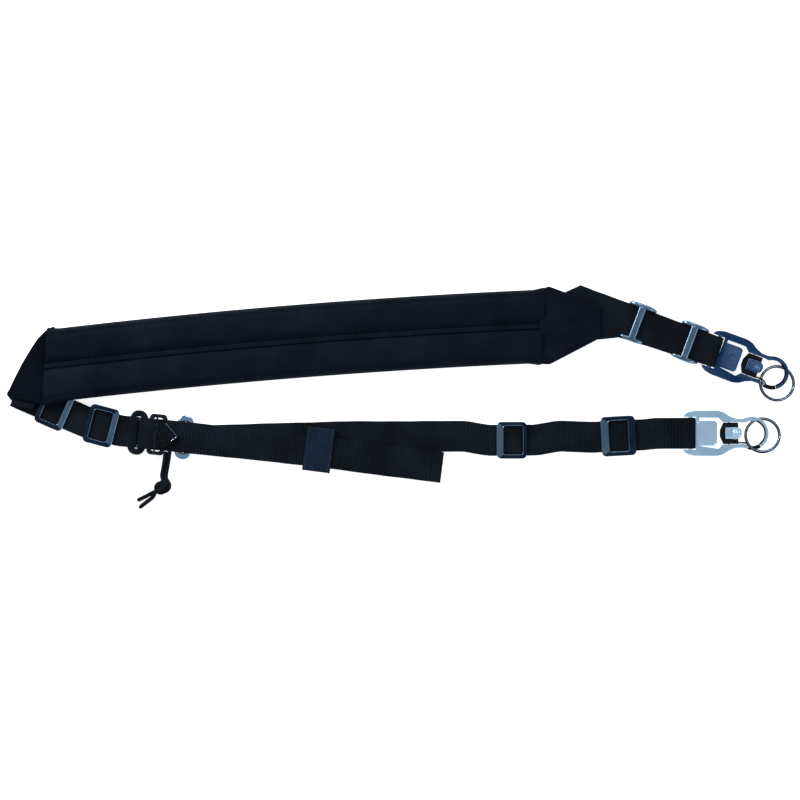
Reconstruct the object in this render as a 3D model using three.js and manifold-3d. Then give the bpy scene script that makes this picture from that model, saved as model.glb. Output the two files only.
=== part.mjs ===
// Padded two-point carrying sling, laid out flat on a surface, in millimetres.
// +X runs along the sling towards the snap hooks, +Z is up, z = 0 is the surface that it lies on.
import * as THREE from "three";
import { mergeVertices } from "three/addons/utils/BufferGeometryUtils.js";
import Module from "manifold-3d";

const wasm = await Module();
wasm.setup();

// ---- driving dimensions ----
const CENTRE = { x: -1.08, y: -0.07 }; // middle of the whole sling in the layout's own coordinates
const WEB_WIDTH = 30;
const WEB_THICK = 1.5;
const LAYER_PITCH = 1.8; // two layers of webbing with their 0.3 mm gap
const LOOP_RADIUS = 3.05; // middle of the webbing where it goes round a bar
const BEND_RADIUS = 30; // where a strap lying flat changes direction
const GAP = 0.3;

const PAD = { half: 35, flare: 1.09, flareLength: 14, lift: 8.5, liftEnd: -312, liftStart: -255 };
const SEAM = { left: [-345.7, 16.8], bulge: [-104.8, 45.8], right: [137.6, 55.9] };
const PAD_ACROSS = [0.06, 0.998];

const HOOK_Z = 5.25;
const HOOK = {
  thick: 2.6, slot: 15.9, window: 15, tongue: 12.1, crossBar: 8.5, tongueEnd: 25.6,
  eye: 59.5, outer: 16.2, inner: 12.2, pin: 37, pinRadius: 0.8, barRadius: 2,
  segments: 12,
};
const NOSE = { from: -106, to: -57, clear: 1.2 }; // degrees round the eye
const HUB = { half: 10.4, from: 28.2, to: 46.2, low: -4.65, high: 2.65 };
const RING = { outer: 17.5, inner: 15.3, tall: 2.4, tilt: -12 };

const LINK_Z = 3.95; // bars that lie between the two runs of the main strap
const LINK = { along: 16.5, across: 43.5, holeAlong: 8.5, holeAcross: 35.5, tall: 3 };
const FRAME = { along: 17.4, across: 39.7, holeAlong: 9.4, holeAcross: 32.6 };
const TAB_PIVOT = { along: -1.3, z: 9.9 };
const CORD_RADIUS = 2;

// ---- materials ----
function finish(colour, roughness, metalness) {
  return new THREE.MeshStandardMaterial({ color: colour, roughness, metalness });
}
const webbingBlack = finish(0x14161b, 0.85, 0);
const fabricNavy = finish(0x10182a, 0.9, 0);
const foamGrey = finish(0x33363c, 0.95, 0);
const keeperBlue = finish(0x17294d, 0.85, 0);
const steelBlue = finish(0x7fa3c4, 0.35, 0.9);
const steelPale = finish(0xb9d2e8, 0.35, 0.9);
const plasticBlack = finish(0x0b0c0e, 0.5, 0);
const ringDark = finish(0x3a3c40, 0.3, 1);

const sling = new THREE.Group();
sling.position.set(-CENTRE.x, -CENTRE.y, 0);

function add(name, geometry, material, parent = sling) {
  const mesh = new THREE.Mesh(geometry, material);
  mesh.name = name;
  parent.add(mesh);
  return mesh;
}

// ---- joining and cutting ----
function toSolid(geometry) {
  const bare = geometry.clone();
  bare.deleteAttribute("normal");
  bare.deleteAttribute("uv");
  const merged = mergeVertices(bare, 1e-4);
  return new wasm.Manifold(new wasm.Mesh({
    numProp: 3,
    vertProperties: merged.attributes.position.array,
    triVerts: new Uint32Array(merged.index.array),
  }));
}

function toGeometry(solid) {
  const mesh = solid.getMesh();
  const geometry = new THREE.BufferGeometry();
  geometry.setAttribute("position", new THREE.BufferAttribute(mesh.vertProperties, 3));
  geometry.setIndex(new THREE.BufferAttribute(mesh.triVerts, 1));
  geometry.computeVertexNormals();
  return geometry;
}

function joined(...geometries) {
  return toGeometry(geometries.map(toSolid).reduce((all, next) => all.add(next)));
}

function cut(geometry, ...tools) {
  return toGeometry(tools.map(toSolid).reduce((all, next) => all.subtract(next), toSolid(geometry)));
}

// ---- plain shapes ----
function outline(points) {
  return new THREE.Shape(points.map(([x, y]) => new THREE.Vector2(x, y)));
}

function roundedRect(along, across, radius, PathType = THREE.Shape) {
  const a = along / 2;
  const b = across / 2;
  const path = new PathType();
  path.absarc(a - radius, b - radius, radius, 0, Math.PI / 2);
  path.absarc(-a + radius, b - radius, radius, Math.PI / 2, Math.PI);
  path.absarc(-a + radius, -b + radius, radius, Math.PI, Math.PI * 1.5);
  path.absarc(a - radius, -b + radius, radius, Math.PI * 1.5, Math.PI * 2);
  path.closePath();
  return path;
}

function plate(shape, low, high, bevel = 0, curveSegments = 4) {
  const geometry = new THREE.ExtrudeGeometry(shape, {
    depth: high - low - 2 * bevel,
    curveSegments,
    bevelEnabled: bevel > 0,
    bevelThickness: bevel,
    bevelSize: bevel,
    bevelOffset: -bevel,
    bevelSegments: 1,
  });
  return geometry.translate(0, 0, low + bevel);
}

function box(from, to) {
  const size = to.map((value, i) => value - from[i]);
  const middle = to.map((value, i) => (value + from[i]) / 2);
  return new THREE.BoxGeometry(...size).translate(...middle);
}

function barAcross(radius, along, z, half, sides = 12) {
  return new THREE.CylinderGeometry(radius, radius, 2 * half, sides).translate(along, 0, z);
}

// ---- routes: how a strap runs over the surface ----
// Corners joined by straight runs and arcs. Distance 0 is at the start, or at the end if fromEnd is set.
class Route {
  constructor(corners, { radius = BEND_RADIUS, fromEnd = false } = {}) {
    const at = corners.map(([x, y]) => new THREE.Vector2(x, y));
    this.path = new THREE.CurvePath();
    let last = at[0];
    for (let i = 1; i < at.length - 1; i++) {
      const back = at[i - 1].clone().sub(at[i]).normalize();
      const ahead = at[i + 1].clone().sub(at[i]).normalize();
      const turn = Math.PI - back.angleTo(ahead);
      const reach = radius * Math.tan(turn / 2);
      const start = at[i].clone().addScaledVector(back, reach);
      const end = at[i].clone().addScaledVector(ahead, reach);
      this.path.add(new THREE.LineCurve(last, start));
      this.path.add(new THREE.QuadraticBezierCurve(start, at[i], end));
      last = end;
    }
    this.path.add(new THREE.LineCurve(last, at.at(-1)));
    this.length = this.path.getLength();
    this.offset = fromEnd ? this.length : 0;
  }

  at(distance) {
    const along = distance + this.offset;
    const inside = THREE.MathUtils.clamp(along, 0, this.length);
    const point = this.path.getPoint(inside / this.length);
    const nudge = 0.2;
    const a = this.path.getPoint(Math.max(inside - nudge, 0) / this.length);
    const b = this.path.getPoint(Math.min(inside + nudge, this.length) / this.length);
    const ahead = b.sub(a).normalize();
    point.addScaledVector(ahead, along - inside);
    return { x: point.x, y: point.y, ahead, across: new THREE.Vector2(-ahead.y, ahead.x) };
  }

  // The distance along the route of the point nearest to a given x.
  distanceAtX(x) {
    let low = -this.offset;
    let high = this.length - this.offset;
    for (let i = 0; i < 40; i++) {
      const middle = (low + high) / 2;
      if (this.at(middle).x < x) low = middle;
      else high = middle;
    }
    return low;
  }

  place(group, distance) {
    const here = this.at(distance);
    group.position.set(here.x, here.y, 0);
    group.rotation.z = Math.atan2(here.ahead.y, here.ahead.x);
    sling.add(group);
    return group;
  }
}

// ---- webbing ----
// One run of a strap: from (distance, height) to (distance, height), in steps of at most 12 mm.
function run(route, from, to, step = 12) {
  const count = Math.max(1, Math.ceil(Math.abs(to[0] - from[0]) / step));
  return Array.from({ length: count + 1 }, (_, i) => {
    const t = i / count;
    const rise = t * t * (3 - 2 * t);
    return { route, s: from[0] + (to[0] - from[0]) * t, z: from[1] + (to[1] - from[1]) * rise };
  });
}

// The half turn of a strap round a bar: sign +1 where the bar is at the strap's far end.
function turn(route, s, z, sign, fromTop, steps = 8) {
  return Array.from({ length: steps - 1 }, (_, i) => {
    const angle = Math.PI * ((i + 1) / steps - 0.5) * (fromTop ? -1 : 1);
    return {
      route,
      s: s + sign * LOOP_RADIUS * Math.cos(angle),
      z: z + LOOP_RADIUS * Math.sin(angle),
    };
  });
}

function webbing(stations, width = WEB_WIDTH, thick = WEB_THICK) {
  const kept = stations.filter((here, i) => {
    const before = stations[i - 1];
    return !before || Math.hypot(here.s - before.s, here.z - before.z) > 0.01;
  });
  const last = kept.length - 1;
  const geometry = new THREE.BoxGeometry(last, width, thick, last, 1, 1).translate(last / 2, 0, 0);
  const position = geometry.attributes.position;
  for (let i = 0; i < position.count; i++) {
    const k = Math.round(position.getX(i));
    const side = position.getY(i);
    const up = position.getZ(i);
    const a = kept[Math.max(k - 1, 0)];
    const b = kept[Math.min(k + 1, last)];
    const tangent = new THREE.Vector2(b.s - a.s, b.z - a.z).normalize();
    const slant = (kept[k].slant ?? 0) * side;
    const here = kept[k].route.at(kept[k].s - tangent.y * up + slant);
    position.setXYZ(
      i,
      here.x + here.across.x * side,
      here.y + here.across.y * side,
      kept[k].z + tangent.x * up,
    );
  }
  return geometry;
}

// ---- pad ----
const padCurve = new THREE.QuadraticBezierCurve(
  new THREE.Vector2(...SEAM.left),
  new THREE.Vector2(...SEAM.bulge),
  new THREE.Vector2(...SEAM.right),
);

function sweptAlongPad(shape, inset, steps = 24) {
  const length = padCurve.getLength();
  const geometry = new THREE.ExtrudeGeometry(shape, { depth: 1, steps, bevelEnabled: false });
  const position = geometry.attributes.position;
  for (let i = 0; i < position.count; i++) {
    const s = inset + position.getZ(i) * (length - 2 * inset);
    const fromEnd = Math.min(s, length - s);
    const flare = 1 + (PAD.flare - 1) * (1 - THREE.MathUtils.smoothstep(fromEnd, 0, PAD.flareLength));
    const side = position.getX(i) * flare;
    const at = padCurve.getPointAt(s / length);
    const lift = PAD.lift * (1 - THREE.MathUtils.smoothstep(at.x, PAD.liftEnd, PAD.liftStart));
    position.setXYZ(
      i,
      at.x + PAD_ACROSS[0] * side,
      at.y + PAD_ACROSS[1] * side,
      position.getY(i) + lift,
    );
  }
  return geometry;
}

function makePad() {
  const half = PAD.half;
  const outer = [
    [half, 1.8], [half - 0.4, 5], [half - 4, 8.6], [24, 10.2], [12, 10.2], [5, 8.6], [2.4, 6.2],
  ];
  const inner = [
    [1.6, 1.8], [3.2, 6], [6, 7.9], [12.5, 9.1], [23.5, 9.1], [30.2, 7.7], [33.4, 4.6], [33.7, 1.8],
  ];
  const mirror = (points) => points.map(([x, y]) => [-x, y]).reverse();
  const skin = [...outer, ...mirror(outer), ...mirror(inner), ...inner];
  add("pad_face_fabric", sweptAlongPad(outline(skin), 0), fabricNavy);
  const foam = [
    [3.4, 1.8], [4, 5.6], [6.6, 7.4], [12.7, 8.7], [23.2, 8.7], [29.8, 7.3], [32.9, 4.4], [33.2, 1.8],
  ];
  add("pad_foam_upper", sweptAlongPad(outline(foam.toReversed()), 2), foamGrey);
  add("pad_foam_lower", sweptAlongPad(outline(mirror(foam).toReversed()), 2), foamGrey);
  const back = [[-half, 0], [half, 0], [half, 1.5], [-half, 1.5]];
  add("pad_back_panel", sweptAlongPad(outline(back), 0), fabricNavy);
}

// ---- gussets and the corner strap ----
function makeGussets() {
  const left = [
    [-344.2, 51], [-351.9, 44.5], [-359, 33.9], [-367.2, 20.3], [-375.1, 4.8], [-380.9, -7.7],
    [-373.2, -14.5], [-349.5, -20.3],
  ];
  add("gusset_left", plate(outline(left.toReversed()), 10.3, 12.3), fabricNavy);
  const corner = [[-382.8, -9.9], [-374, -20.8], [-358, -24.5], [-348.7, -10], [-344.6, 53]];
  add("corner_strap", plate(outline(corner), 8.5, 10), webbingBlack);
  const right = [
    [135.9, 18.6], [143.3, 18.8], [192.5, 44.5], [192.5, 76.2], [180.4, 77.4], [166.6, 86.2],
    [156.2, 89.6], [141.8, 94.9], [140.2, 93.6],
  ];
  add("gusset_right", plate(outline(right), 7.2, 9.2), fabricNavy);
}

// ---- tri-glides ----
// Outer bars under the webbing and the middle bar over it.
function glideMiddleOver({ along = 29, across = 38 }) {
  const a = along / 2;
  const inside = WEB_WIDTH / 2 + 1.2;
  const cheek = outline([[-a, 0], [a, 0], [a, 3], [4, 9.7], [-4, 9.7], [-a, 3]]);
  const cheekAt = (y) => plate(cheek, 0, across / 2 - inside).rotateX(Math.PI / 2).translate(0, y, 0);
  return joined(
    cheekAt(across / 2),
    cheekAt(-inside),
    barAcross(1.5, -a + 1.5, 1.5, inside + 1),
    barAcross(1.5, a - 1.5, 1.5, inside + 1),
    barAcross(1.25, 0, 8.45, inside + 1),
  );
}

// The frame over the webbing and the middle bar under it.
function glideFrameOver({ along, across, window: [holeAlong, holeAcross] }) {
  const frame = roundedRect(along, across, 5);
  frame.holes.push(roundedRect(holeAlong, holeAcross, 2.5, THREE.Path));
  const inside = WEB_WIDTH / 2 + 0.6;
  const post = (sign) => {
    const near = sign * inside;
    const far = sign * (across / 2 - 0.4);
    return box([-3, Math.min(near, far), 0.1], [3, Math.max(near, far), 6.6]);
  };
  return joined(plate(frame, 5.9, 8.1, 0.5), post(1), post(-1), barAcross(1, 0, 1.05, inside + 0.8));
}

// ---- strap and hook A, at the pad's right end ----
const hookBarA = [303.0, 31.5];
const lineA = new Route([[134, 94.35], hookBarA], { fromEnd: true });
const strapRouteA = new Route([[148, 55.6], [210.5, 65.9], hookBarA], { radius: 20, fromEnd: true });
const layersA = { low: HOOK_Z - LAYER_PITCH / 2, high: HOOK_Z + LAYER_PITCH / 2 };

function makeStrapA() {
  const start = -strapRouteA.length;
  const pinch = -10;
  const loop = [
    ...run(strapRouteA, [start, layersA.high], [-66, layersA.high], 5),
    ...run(strapRouteA, [-66, layersA.high], [pinch, layersA.high]),
    ...run(strapRouteA, [pinch, layersA.high], [0, HOOK_Z + LOOP_RADIUS], 3),
    ...turn(strapRouteA, 0, HOOK_Z, 1, true),
    ...run(lineA, [0, HOOK_Z - LOOP_RADIUS], [pinch, layersA.low], 3),
    ...run(lineA, [pinch, layersA.low], [-159, layersA.low], 20),
  ];
  loop.at(-1).slant = 1; // the free end is cut at 45 degrees
  const behindPad = box([120, 40, 0], [143.2, 110, 12]);
  add("strap_a", cut(webbing(loop), behindPad), webbingBlack);
  for (const [name, s] of [["triglide_a1", -79.6], ["triglide_a2", -25.6]]) {
    add(name, glideMiddleOver({}), steelBlue, lineA.place(new THREE.Group(), s));
  }
}

// ---- strap B and the oval link, at the pad's left end ----
const linkHeading = THREE.MathUtils.degToRad(-6);
const linkAt = [-255.3, -46.9];
const fromLink = (distance) => [
  linkAt[0] + distance * Math.cos(linkHeading),
  linkAt[1] + distance * Math.sin(linkHeading),
];
const routeB = new Route([[-373.5, -7.4], [-306, -36.5], fromLink(-18), linkAt]);
const layersB = { low: LINK_Z - LAYER_PITCH / 2, high: LINK_Z + LAYER_PITCH / 2 };
const linkBar = (LINK.along + LINK.holeAlong) / 4;

function makeStrapB() {
  const end = routeB.length - linkBar;
  const pinch = end - 10;
  const bend = 66;
  const loop = [
    ...run(routeB, [0, layersB.low], [bend, layersB.low]),
    ...run(routeB, [bend, layersB.low], [bend + 16, layersB.low], 2),
    ...run(routeB, [bend + 16, layersB.low], [pinch, layersB.low]),
    ...run(routeB, [pinch, layersB.low], [end, LINK_Z - LOOP_RADIUS], 3),
    ...turn(routeB, end, LINK_Z, 1, false),
    ...run(routeB, [end, LINK_Z + LOOP_RADIUS], [pinch, layersB.high], 3),
    ...run(routeB, [pinch, layersB.high], [bend + 16, layersB.high]),
    ...run(routeB, [bend + 16, layersB.high], [bend, layersB.high], 2),
    ...run(routeB, [bend, layersB.high], [0, layersB.high]),
  ];
  add("strap_b", webbing(loop), webbingBlack);
  for (const [name, x] of [["triglide_b1", -335.9], ["triglide_b2", -290.9]]) {
    const glide = glideFrameOver({ along: 29, across: 38, window: [18.6, 29] });
    add(name, glide, steelBlue, routeB.place(new THREE.Group(), routeB.distanceAtX(x)));
  }
}

function ovalRing({ along, across, holeAlong, holeAcross, radius }) {
  const shape = roundedRect(along, across, radius);
  shape.holes.push(roundedRect(holeAlong, holeAcross, 2.4, THREE.Path));
  const half = LINK.tall / 2;
  return plate(shape, LINK_Z - half, LINK_Z + half, 0.7);
}

function makeOvalLink() {
  const group = routeB.place(new THREE.Group(), routeB.length);
  add("oval_link", ovalRing({ ...LINK, radius: 8 }), plasticBlack, group);
}

// ---- main strap: free tail, loop at the oval link, long run, loop at hook B, return run ----
const loopAt = fromLink(linkBar);
const hookBarB = [279.8, -47.7];
const tailRoute = new Route([loopAt, [-96, -63.6], [39.4, -81]], { radius: 100 });
const mainRoute = new Route(
  [
    loopAt, [-183, -54.5], [-135, -53.2], [-59, -51], [62, -50.6], [84, -54.4], [130, -54.4], [152, -50.2],
    [186, -51.6], [233, -49.1], [246, -47.7], hookBarB,
  ],
  { radius: 45 },
);
const tailZ = 4.05;
const layersC = { low: 3.05, high: 4.85 };

function makeMainStrap() {
  const rise = HOOK_Z - (layersC.low + layersC.high) / 2;
  const onMain = (x) => mainRoute.distanceAtX(x);
  const [rampA, rampB, riseA, riseB] = [46, 82, 240, 262].map(onMain);
  const end = mainRoute.length;
  const pinch = end - 10;
  const returnEnd = onMain(84.6);
  const bottom = LINK_Z - LOOP_RADIUS;
  const stations = [
    ...run(tailRoute, [tailRoute.length, tailZ], [tailRoute.distanceAtX(-122), tailZ], 15),
    ...run(tailRoute, [tailRoute.distanceAtX(-122), tailZ], [tailRoute.distanceAtX(-172), LINK_Z + LOOP_RADIUS]),
    ...run(tailRoute, [tailRoute.distanceAtX(-172), LINK_Z + LOOP_RADIUS], [0, LINK_Z + LOOP_RADIUS], 20),
    ...turn(tailRoute, 0, LINK_Z, -1, true),
    ...run(mainRoute, [0, bottom], [rampA, bottom]),
    ...run(mainRoute, [rampA, bottom], [rampB, layersC.high], 6),
    ...run(mainRoute, [rampB, layersC.high], [riseA, layersC.high], 4),
    ...run(mainRoute, [riseA, layersC.high], [riseB, layersC.high + rise], 5),
    ...run(mainRoute, [riseB, layersC.high + rise], [pinch, layersC.high + rise]),
    ...run(mainRoute, [pinch, layersC.high + rise], [end, HOOK_Z + LOOP_RADIUS], 3),
    ...turn(mainRoute, end, HOOK_Z, 1, true),
    ...run(mainRoute, [end, HOOK_Z - LOOP_RADIUS], [pinch, layersC.low + rise], 3),
    ...run(mainRoute, [pinch, layersC.low + rise], [riseB, layersC.low + rise]),
    ...run(mainRoute, [riseB, layersC.low + rise], [riseA, layersC.low], 5),
    ...run(mainRoute, [riseA, layersC.low], [returnEnd, layersC.low], 4),
  ];
  add("main_strap", webbing(stations), webbingBlack);

  const c1 = glideFrameOver({ along: 29.4, across: 35.7, window: [18.9, 27.8] });
  add("triglide_c1", c1, steelBlue, mainRoute.place(new THREE.Group(), onMain(106.7)));
  const c2 = glideFrameOver({ along: 33.7, across: 38.5, window: [18.9, 30] });
  add("triglide_c2", c2, steelBlue, mainRoute.place(new THREE.Group(), onMain(209.9)));
}

// ---- keeper: a flat sleeve round the tail ----
function makeKeeper() {
  const length = 27;
  const wall = 1.2;
  const [across, tall] = [42.7, 4.5];
  const sleeve = roundedRect(across, tall, 2);
  sleeve.holes.push(roundedRect(across - 2 * wall, tall - 2 * wall, 0.9, THREE.Path));
  const geometry = plate(sleeve, -length / 2, length / 2)
    .rotateX(Math.PI / 2)
    .rotateZ(Math.PI / 2)
    .translate(0, 2, tailZ);
  add("keeper", geometry, keeperBlue, tailRoute.place(new THREE.Group(), tailRoute.distanceAtX(-80.5)));
}

// ---- adjuster: frame and oval ring between the two runs, pull tab over them ----
const adjusterS = tailRoute.distanceAtX(-236.7);
const ringOffset = 26.5;

function makeAdjuster() {
  const group = tailRoute.place(new THREE.Group(), adjusterS);
  const wide = FRAME.across / 2;
  const post = (sign) => {
    const [near, far] = [sign * 16.6, sign * wide].sort((a, b) => a - b);
    return box([-3.4, near, LINK_Z - 0.5], [0.8, far, TAB_PIVOT.z + 1.4]);
  };
  const frame = joined(
    ovalRing({ ...FRAME, radius: 4 }),
    post(1),
    post(-1),
    barAcross(0.9, TAB_PIVOT.along, TAB_PIVOT.z, 17.5),
  );
  add("adjuster_frame", frame, plasticBlack, group);

  const ringGroup = new THREE.Group();
  ringGroup.position.x = ringOffset;
  group.add(ringGroup);
  add("adjuster_ring", ovalRing({ ...LINK, across: 43, radius: 8 }), steelPale, ringGroup);

  // A belt of thin webbing ties the ring to the frame.
  const from = (FRAME.holeAlong / 2) - 0.8;
  const to = ringOffset - LINK.holeAlong / 2 + 0.8;
  const belt = roundedRect(to - from, 4.3, 2.14);
  belt.holes.push(roundedRect(to - from - 1, 3.3, 1.64, THREE.Path));
  const beltGeometry = plate(belt, -13, 13).rotateX(Math.PI / 2).translate((from + to) / 2, 0, LINK_Z);
  add("adjuster_belt", beltGeometry, webbingBlack, group);

  const tab = outline([[0.9, -13], [8.9, -13], [21.8, -2], [23.3, 0], [21.8, 2], [8.9, 13], [0.9, 13]]);
  const barrel = barAcross(1.9, 0, 0, 13);
  const leaf = plate(tab, -0.7, 0.9, 0.3).translate(-0.2, 0, 0);
  const bore = barAcross(1.25, 0, 0, 14);
  const knuckle = cut(joined(barrel, leaf), bore);
  add("pull_tab", knuckle.translate(TAB_PIVOT.along, 0, TAB_PIVOT.z), plasticBlack, group);
}

// ---- pull cord: two strands, the knot and two free ends ----
function tube(points) {
  const curve = new THREE.CatmullRomCurve3(points.map(([x, y, z]) => new THREE.Vector3(x, y, z)));
  const section = new THREE.Shape();
  section.absarc(0, 0, CORD_RADIUS, 0, Math.PI * 2);
  const steps = Math.max(3, Math.round(curve.getLength() / (5 * CORD_RADIUS)));
  return new THREE.ExtrudeGeometry(section, { extrudePath: curve, steps, curveSegments: 8 });
}

function makePullCord() {
  const strand = [
    [-224.6, -65.5, 10.2], [-225, -69.9, 8.4], [-225.8, -75.6, 4.9], [-227, -82.4, 2.8], [-228.2, -89.5, 2.6],
  ];
  add("pull_strand_1", tube(strand), webbingBlack);
  add("pull_strand_2", tube(strand.map(([x, y, z]) => [x - 4.4, y - 0.4, z])), webbingBlack);
  const knot = new THREE.SphereGeometry(1, 12, 8).rotateX(Math.PI / 2);
  knot.scale(8.4, 8, 4.6).translate(-231.4, -99.2, 4.9);
  add("pull_knot", knot, webbingBlack);
  const end1 = [[-238.4, -105, 2.8], [-243, -107.5, 2.3], [-249.5, -110, 2.1], [-256, -112.8, 2.1]];
  const end2 = [[-236, -109.4, 2.8], [-241, -113, 2.3], [-247.5, -116.6, 2.1], [-254.1, -120, 2.1]];
  add("pull_end_1", tube(end1), webbingBlack);
  add("pull_end_2", tube(end2), webbingBlack);
}

// ---- snap hooks ----
// u runs from the bar that the webbing holds towards the eye, v across, z from the plate's middle.
function hookOutline() {
  const half = [
    [-7.3, 16.6], [-6, 18.6], [-2.5, 20.6], [3.3, 22], [26, 22.2], [32, 20.6], [37.5, 16.9], [43.5, 14.4],
    [50, 14.2],
  ];
  const shape = new THREE.Shape();
  half.forEach(([u, v], i) => (i ? shape.lineTo(u, v) : shape.moveTo(u, v)));
  shape.absarc(HOOK.eye, 0, HOOK.outer, Math.PI * 0.63, -Math.PI * 0.63, true);
  half.toReversed().forEach(([u, v]) => shape.lineTo(u, -v));
  return shape;
}

function windowOutline() {
  const half = [
    [HOOK.crossBar, HOOK.window], [27, HOOK.window], [31, HUB.half + 0.4], [46, HUB.half + 0.4], [50.5, 10.2],
  ];
  const shape = new THREE.Shape();
  half.forEach(([u, v], i) => (i ? shape.lineTo(u, v) : shape.moveTo(u, v)));
  shape.absarc(HOOK.eye, 0, HOOK.inner, Math.PI * 0.68, -Math.PI * 0.68, true);
  half.slice(1).toReversed().forEach(([u, v]) => shape.lineTo(u, -v));
  shape.lineTo(HOOK.crossBar, -HOOK.tongue);
  shape.lineTo(HOOK.tongueEnd - 2, -HOOK.tongue);
  shape.lineTo(HOOK.tongueEnd, -HOOK.tongue + 2);
  shape.lineTo(HOOK.tongueEnd, HOOK.tongue - 2);
  shape.lineTo(HOOK.tongueEnd - 2, HOOK.tongue);
  shape.lineTo(HOOK.crossBar, HOOK.tongue);
  return shape;
}

function eyeSector(inner, outer, fromDegrees, toDegrees) {
  const [from, to] = [fromDegrees, toDegrees].map(THREE.MathUtils.degToRad);
  const shape = new THREE.Shape();
  shape.absarc(HOOK.eye, 0, outer, from, to, false);
  shape.absarc(HOOK.eye, 0, inner, to, from, true);
  shape.closePath();
  return shape;
}

function hookFrame() {
  const half = HOOK.thick / 2;
  const through = (shape) => plate(shape, -half - 1, half + 1, 0, HOOK.segments);
  const body = cut(
    plate(hookOutline(), -half, half, 0.6, HOOK.segments),
    box([-8, -HOOK.slot, -3], [5, HOOK.slot, 3]),
    through(windowOutline()),
    through(eyeSector(HOOK.inner - 3, HOOK.outer + 3, NOSE.from - NOSE.clear, NOSE.to + NOSE.clear)),
    barAcross(HOOK.pinRadius + GAP, HOOK.pin, 0, 13.4),
  );
  return joined(body, barAcross(HOOK.barRadius, 0, 0, HOOK.slot + 1));
}

function gateLever() {
  const half = HOOK.thick / 2;
  const hub = outline([
    [HUB.from, -3], [HUB.from + 3.4, -HUB.half], [HUB.to, -HUB.half], [HUB.to, HUB.half],
    [HUB.from + 3.4, HUB.half], [HUB.from, 3],
  ]);
  const arm = outline([
    [HUB.to - 2, -9.9], [52.6, -9.9], [54.8, -10.9], [56.2, -11.6], [57.2, -12.4],
    [57.8, -11.4], [55.2, -9.5], [52.8, -8.4], [HUB.to - 2, -8.4],
  ]);
  const nose = plate(eyeSector(HOOK.inner, HOOK.outer, NOSE.from, NOSE.to), -half, half);
  return cut(
    joined(plate(hub, HUB.low, HUB.high, 0.5), plate(arm, -0.5, 0.1), nose),
    barAcross(HOOK.pinRadius + GAP, HOOK.pin, 0, HUB.half + 1),
    barAcross(2.7, HOOK.pin, 0, 3),
  );
}

function gateSpring() {
  const profile = [[1.2, -2.7], [2.3, -2.7], [2.3, 2.7], [1.2, 2.7], [1.2, -2.7]];
  const points = profile.map(([r, y]) => new THREE.Vector2(r, y));
  return new THREE.LatheGeometry(points, 16).translate(HOOK.pin, 0, 0);
}

function splitRing(centre, towards) {
  const h = RING.tall / 2;
  const middle = (RING.outer + RING.inner) / 2;
  const profile = [
    [RING.inner, -h / 2], [middle, -h], [RING.outer, -h / 2], [RING.outer, h / 2], [middle, h], [RING.inner, h / 2],
    [RING.inner, -h / 2],
  ];
  const ring = new THREE.LatheGeometry(profile.map(([r, y]) => new THREE.Vector2(r, y)), 36);
  ring.rotateX(Math.PI / 2);
  ring.rotateX(THREE.MathUtils.degToRad(RING.tilt));
  return ring.rotateZ(towards).translate(centre[0], centre[1], 0);
}

function makeHook(letter, [x, y], heading, ring, finishes) {
  const group = new THREE.Group();
  group.position.set(x, y, HOOK_Z);
  group.rotation.z = heading;
  sling.add(group);
  add(`hook_${letter}_frame`, hookFrame(), finishes.metal, group);
  add(`gate_${letter}_lever`, gateLever(), plasticBlack, group);
  add(`gate_${letter}_pin`, barAcross(HOOK.pinRadius, HOOK.pin, 0, 13), steelPale, group);
  add(`gate_${letter}_spring`, gateSpring(), ringDark, group);
  const tab = outline([
    [33.6, -5], [44, -5.6], [48.6, -4], [49.6, -1], [49.6, 1.4], [48.6, 4.4], [44, 6], [33.6, 5.4],
  ]);
  add(`gate_${letter}_thumb_tab`, plate(tab, HUB.high + GAP, HUB.high + GAP + 1.5, 0.4), finishes.metal, group);
  const towards = THREE.MathUtils.degToRad(ring.towards);
  const centre = [HOOK.eye + ring.reach * Math.cos(towards), ring.reach * Math.sin(towards)];
  add(`split_ring_${letter}`, splitRing(centre, towards), ringDark, group);
}

makePad();
makeGussets();
makeStrapA();
makeStrapB();
makeOvalLink();
makeMainStrap();
makeKeeper();
makeAdjuster();
makePullCord();
const headingA = Math.atan2(lineA.at(0).ahead.y, lineA.at(0).ahead.x);
makeHook("a", hookBarA, headingA, { reach: 11.1, towards: -45 }, { metal: steelBlue });
makeHook("b", hookBarB, 0, { reach: 10.3, towards: -10.7 }, { metal: steelPale });

export default sling;
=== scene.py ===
"""A padded carrying sling: pad, flat webbing, tri-glides, an adjuster with its pull cord, and two snap hooks.

Lengths in the tables below are millimetres in the sling's own plan, and row() takes them to the row frame.
"""

import math

import bpy
import numpy as np
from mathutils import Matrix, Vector


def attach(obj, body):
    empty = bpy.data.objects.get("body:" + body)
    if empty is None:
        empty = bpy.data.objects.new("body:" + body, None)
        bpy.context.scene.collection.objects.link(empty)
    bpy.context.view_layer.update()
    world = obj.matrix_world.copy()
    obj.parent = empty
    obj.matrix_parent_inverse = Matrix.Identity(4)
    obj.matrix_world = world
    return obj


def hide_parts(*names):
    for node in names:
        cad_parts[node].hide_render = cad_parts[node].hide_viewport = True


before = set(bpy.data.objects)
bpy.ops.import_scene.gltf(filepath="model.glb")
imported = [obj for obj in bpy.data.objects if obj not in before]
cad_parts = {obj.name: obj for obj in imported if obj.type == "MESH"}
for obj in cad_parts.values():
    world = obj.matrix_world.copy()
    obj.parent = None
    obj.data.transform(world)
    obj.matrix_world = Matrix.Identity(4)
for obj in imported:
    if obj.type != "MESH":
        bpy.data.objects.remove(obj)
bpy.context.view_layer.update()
scene = bpy.context.scene
RNG = np.random.default_rng(11)

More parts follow.
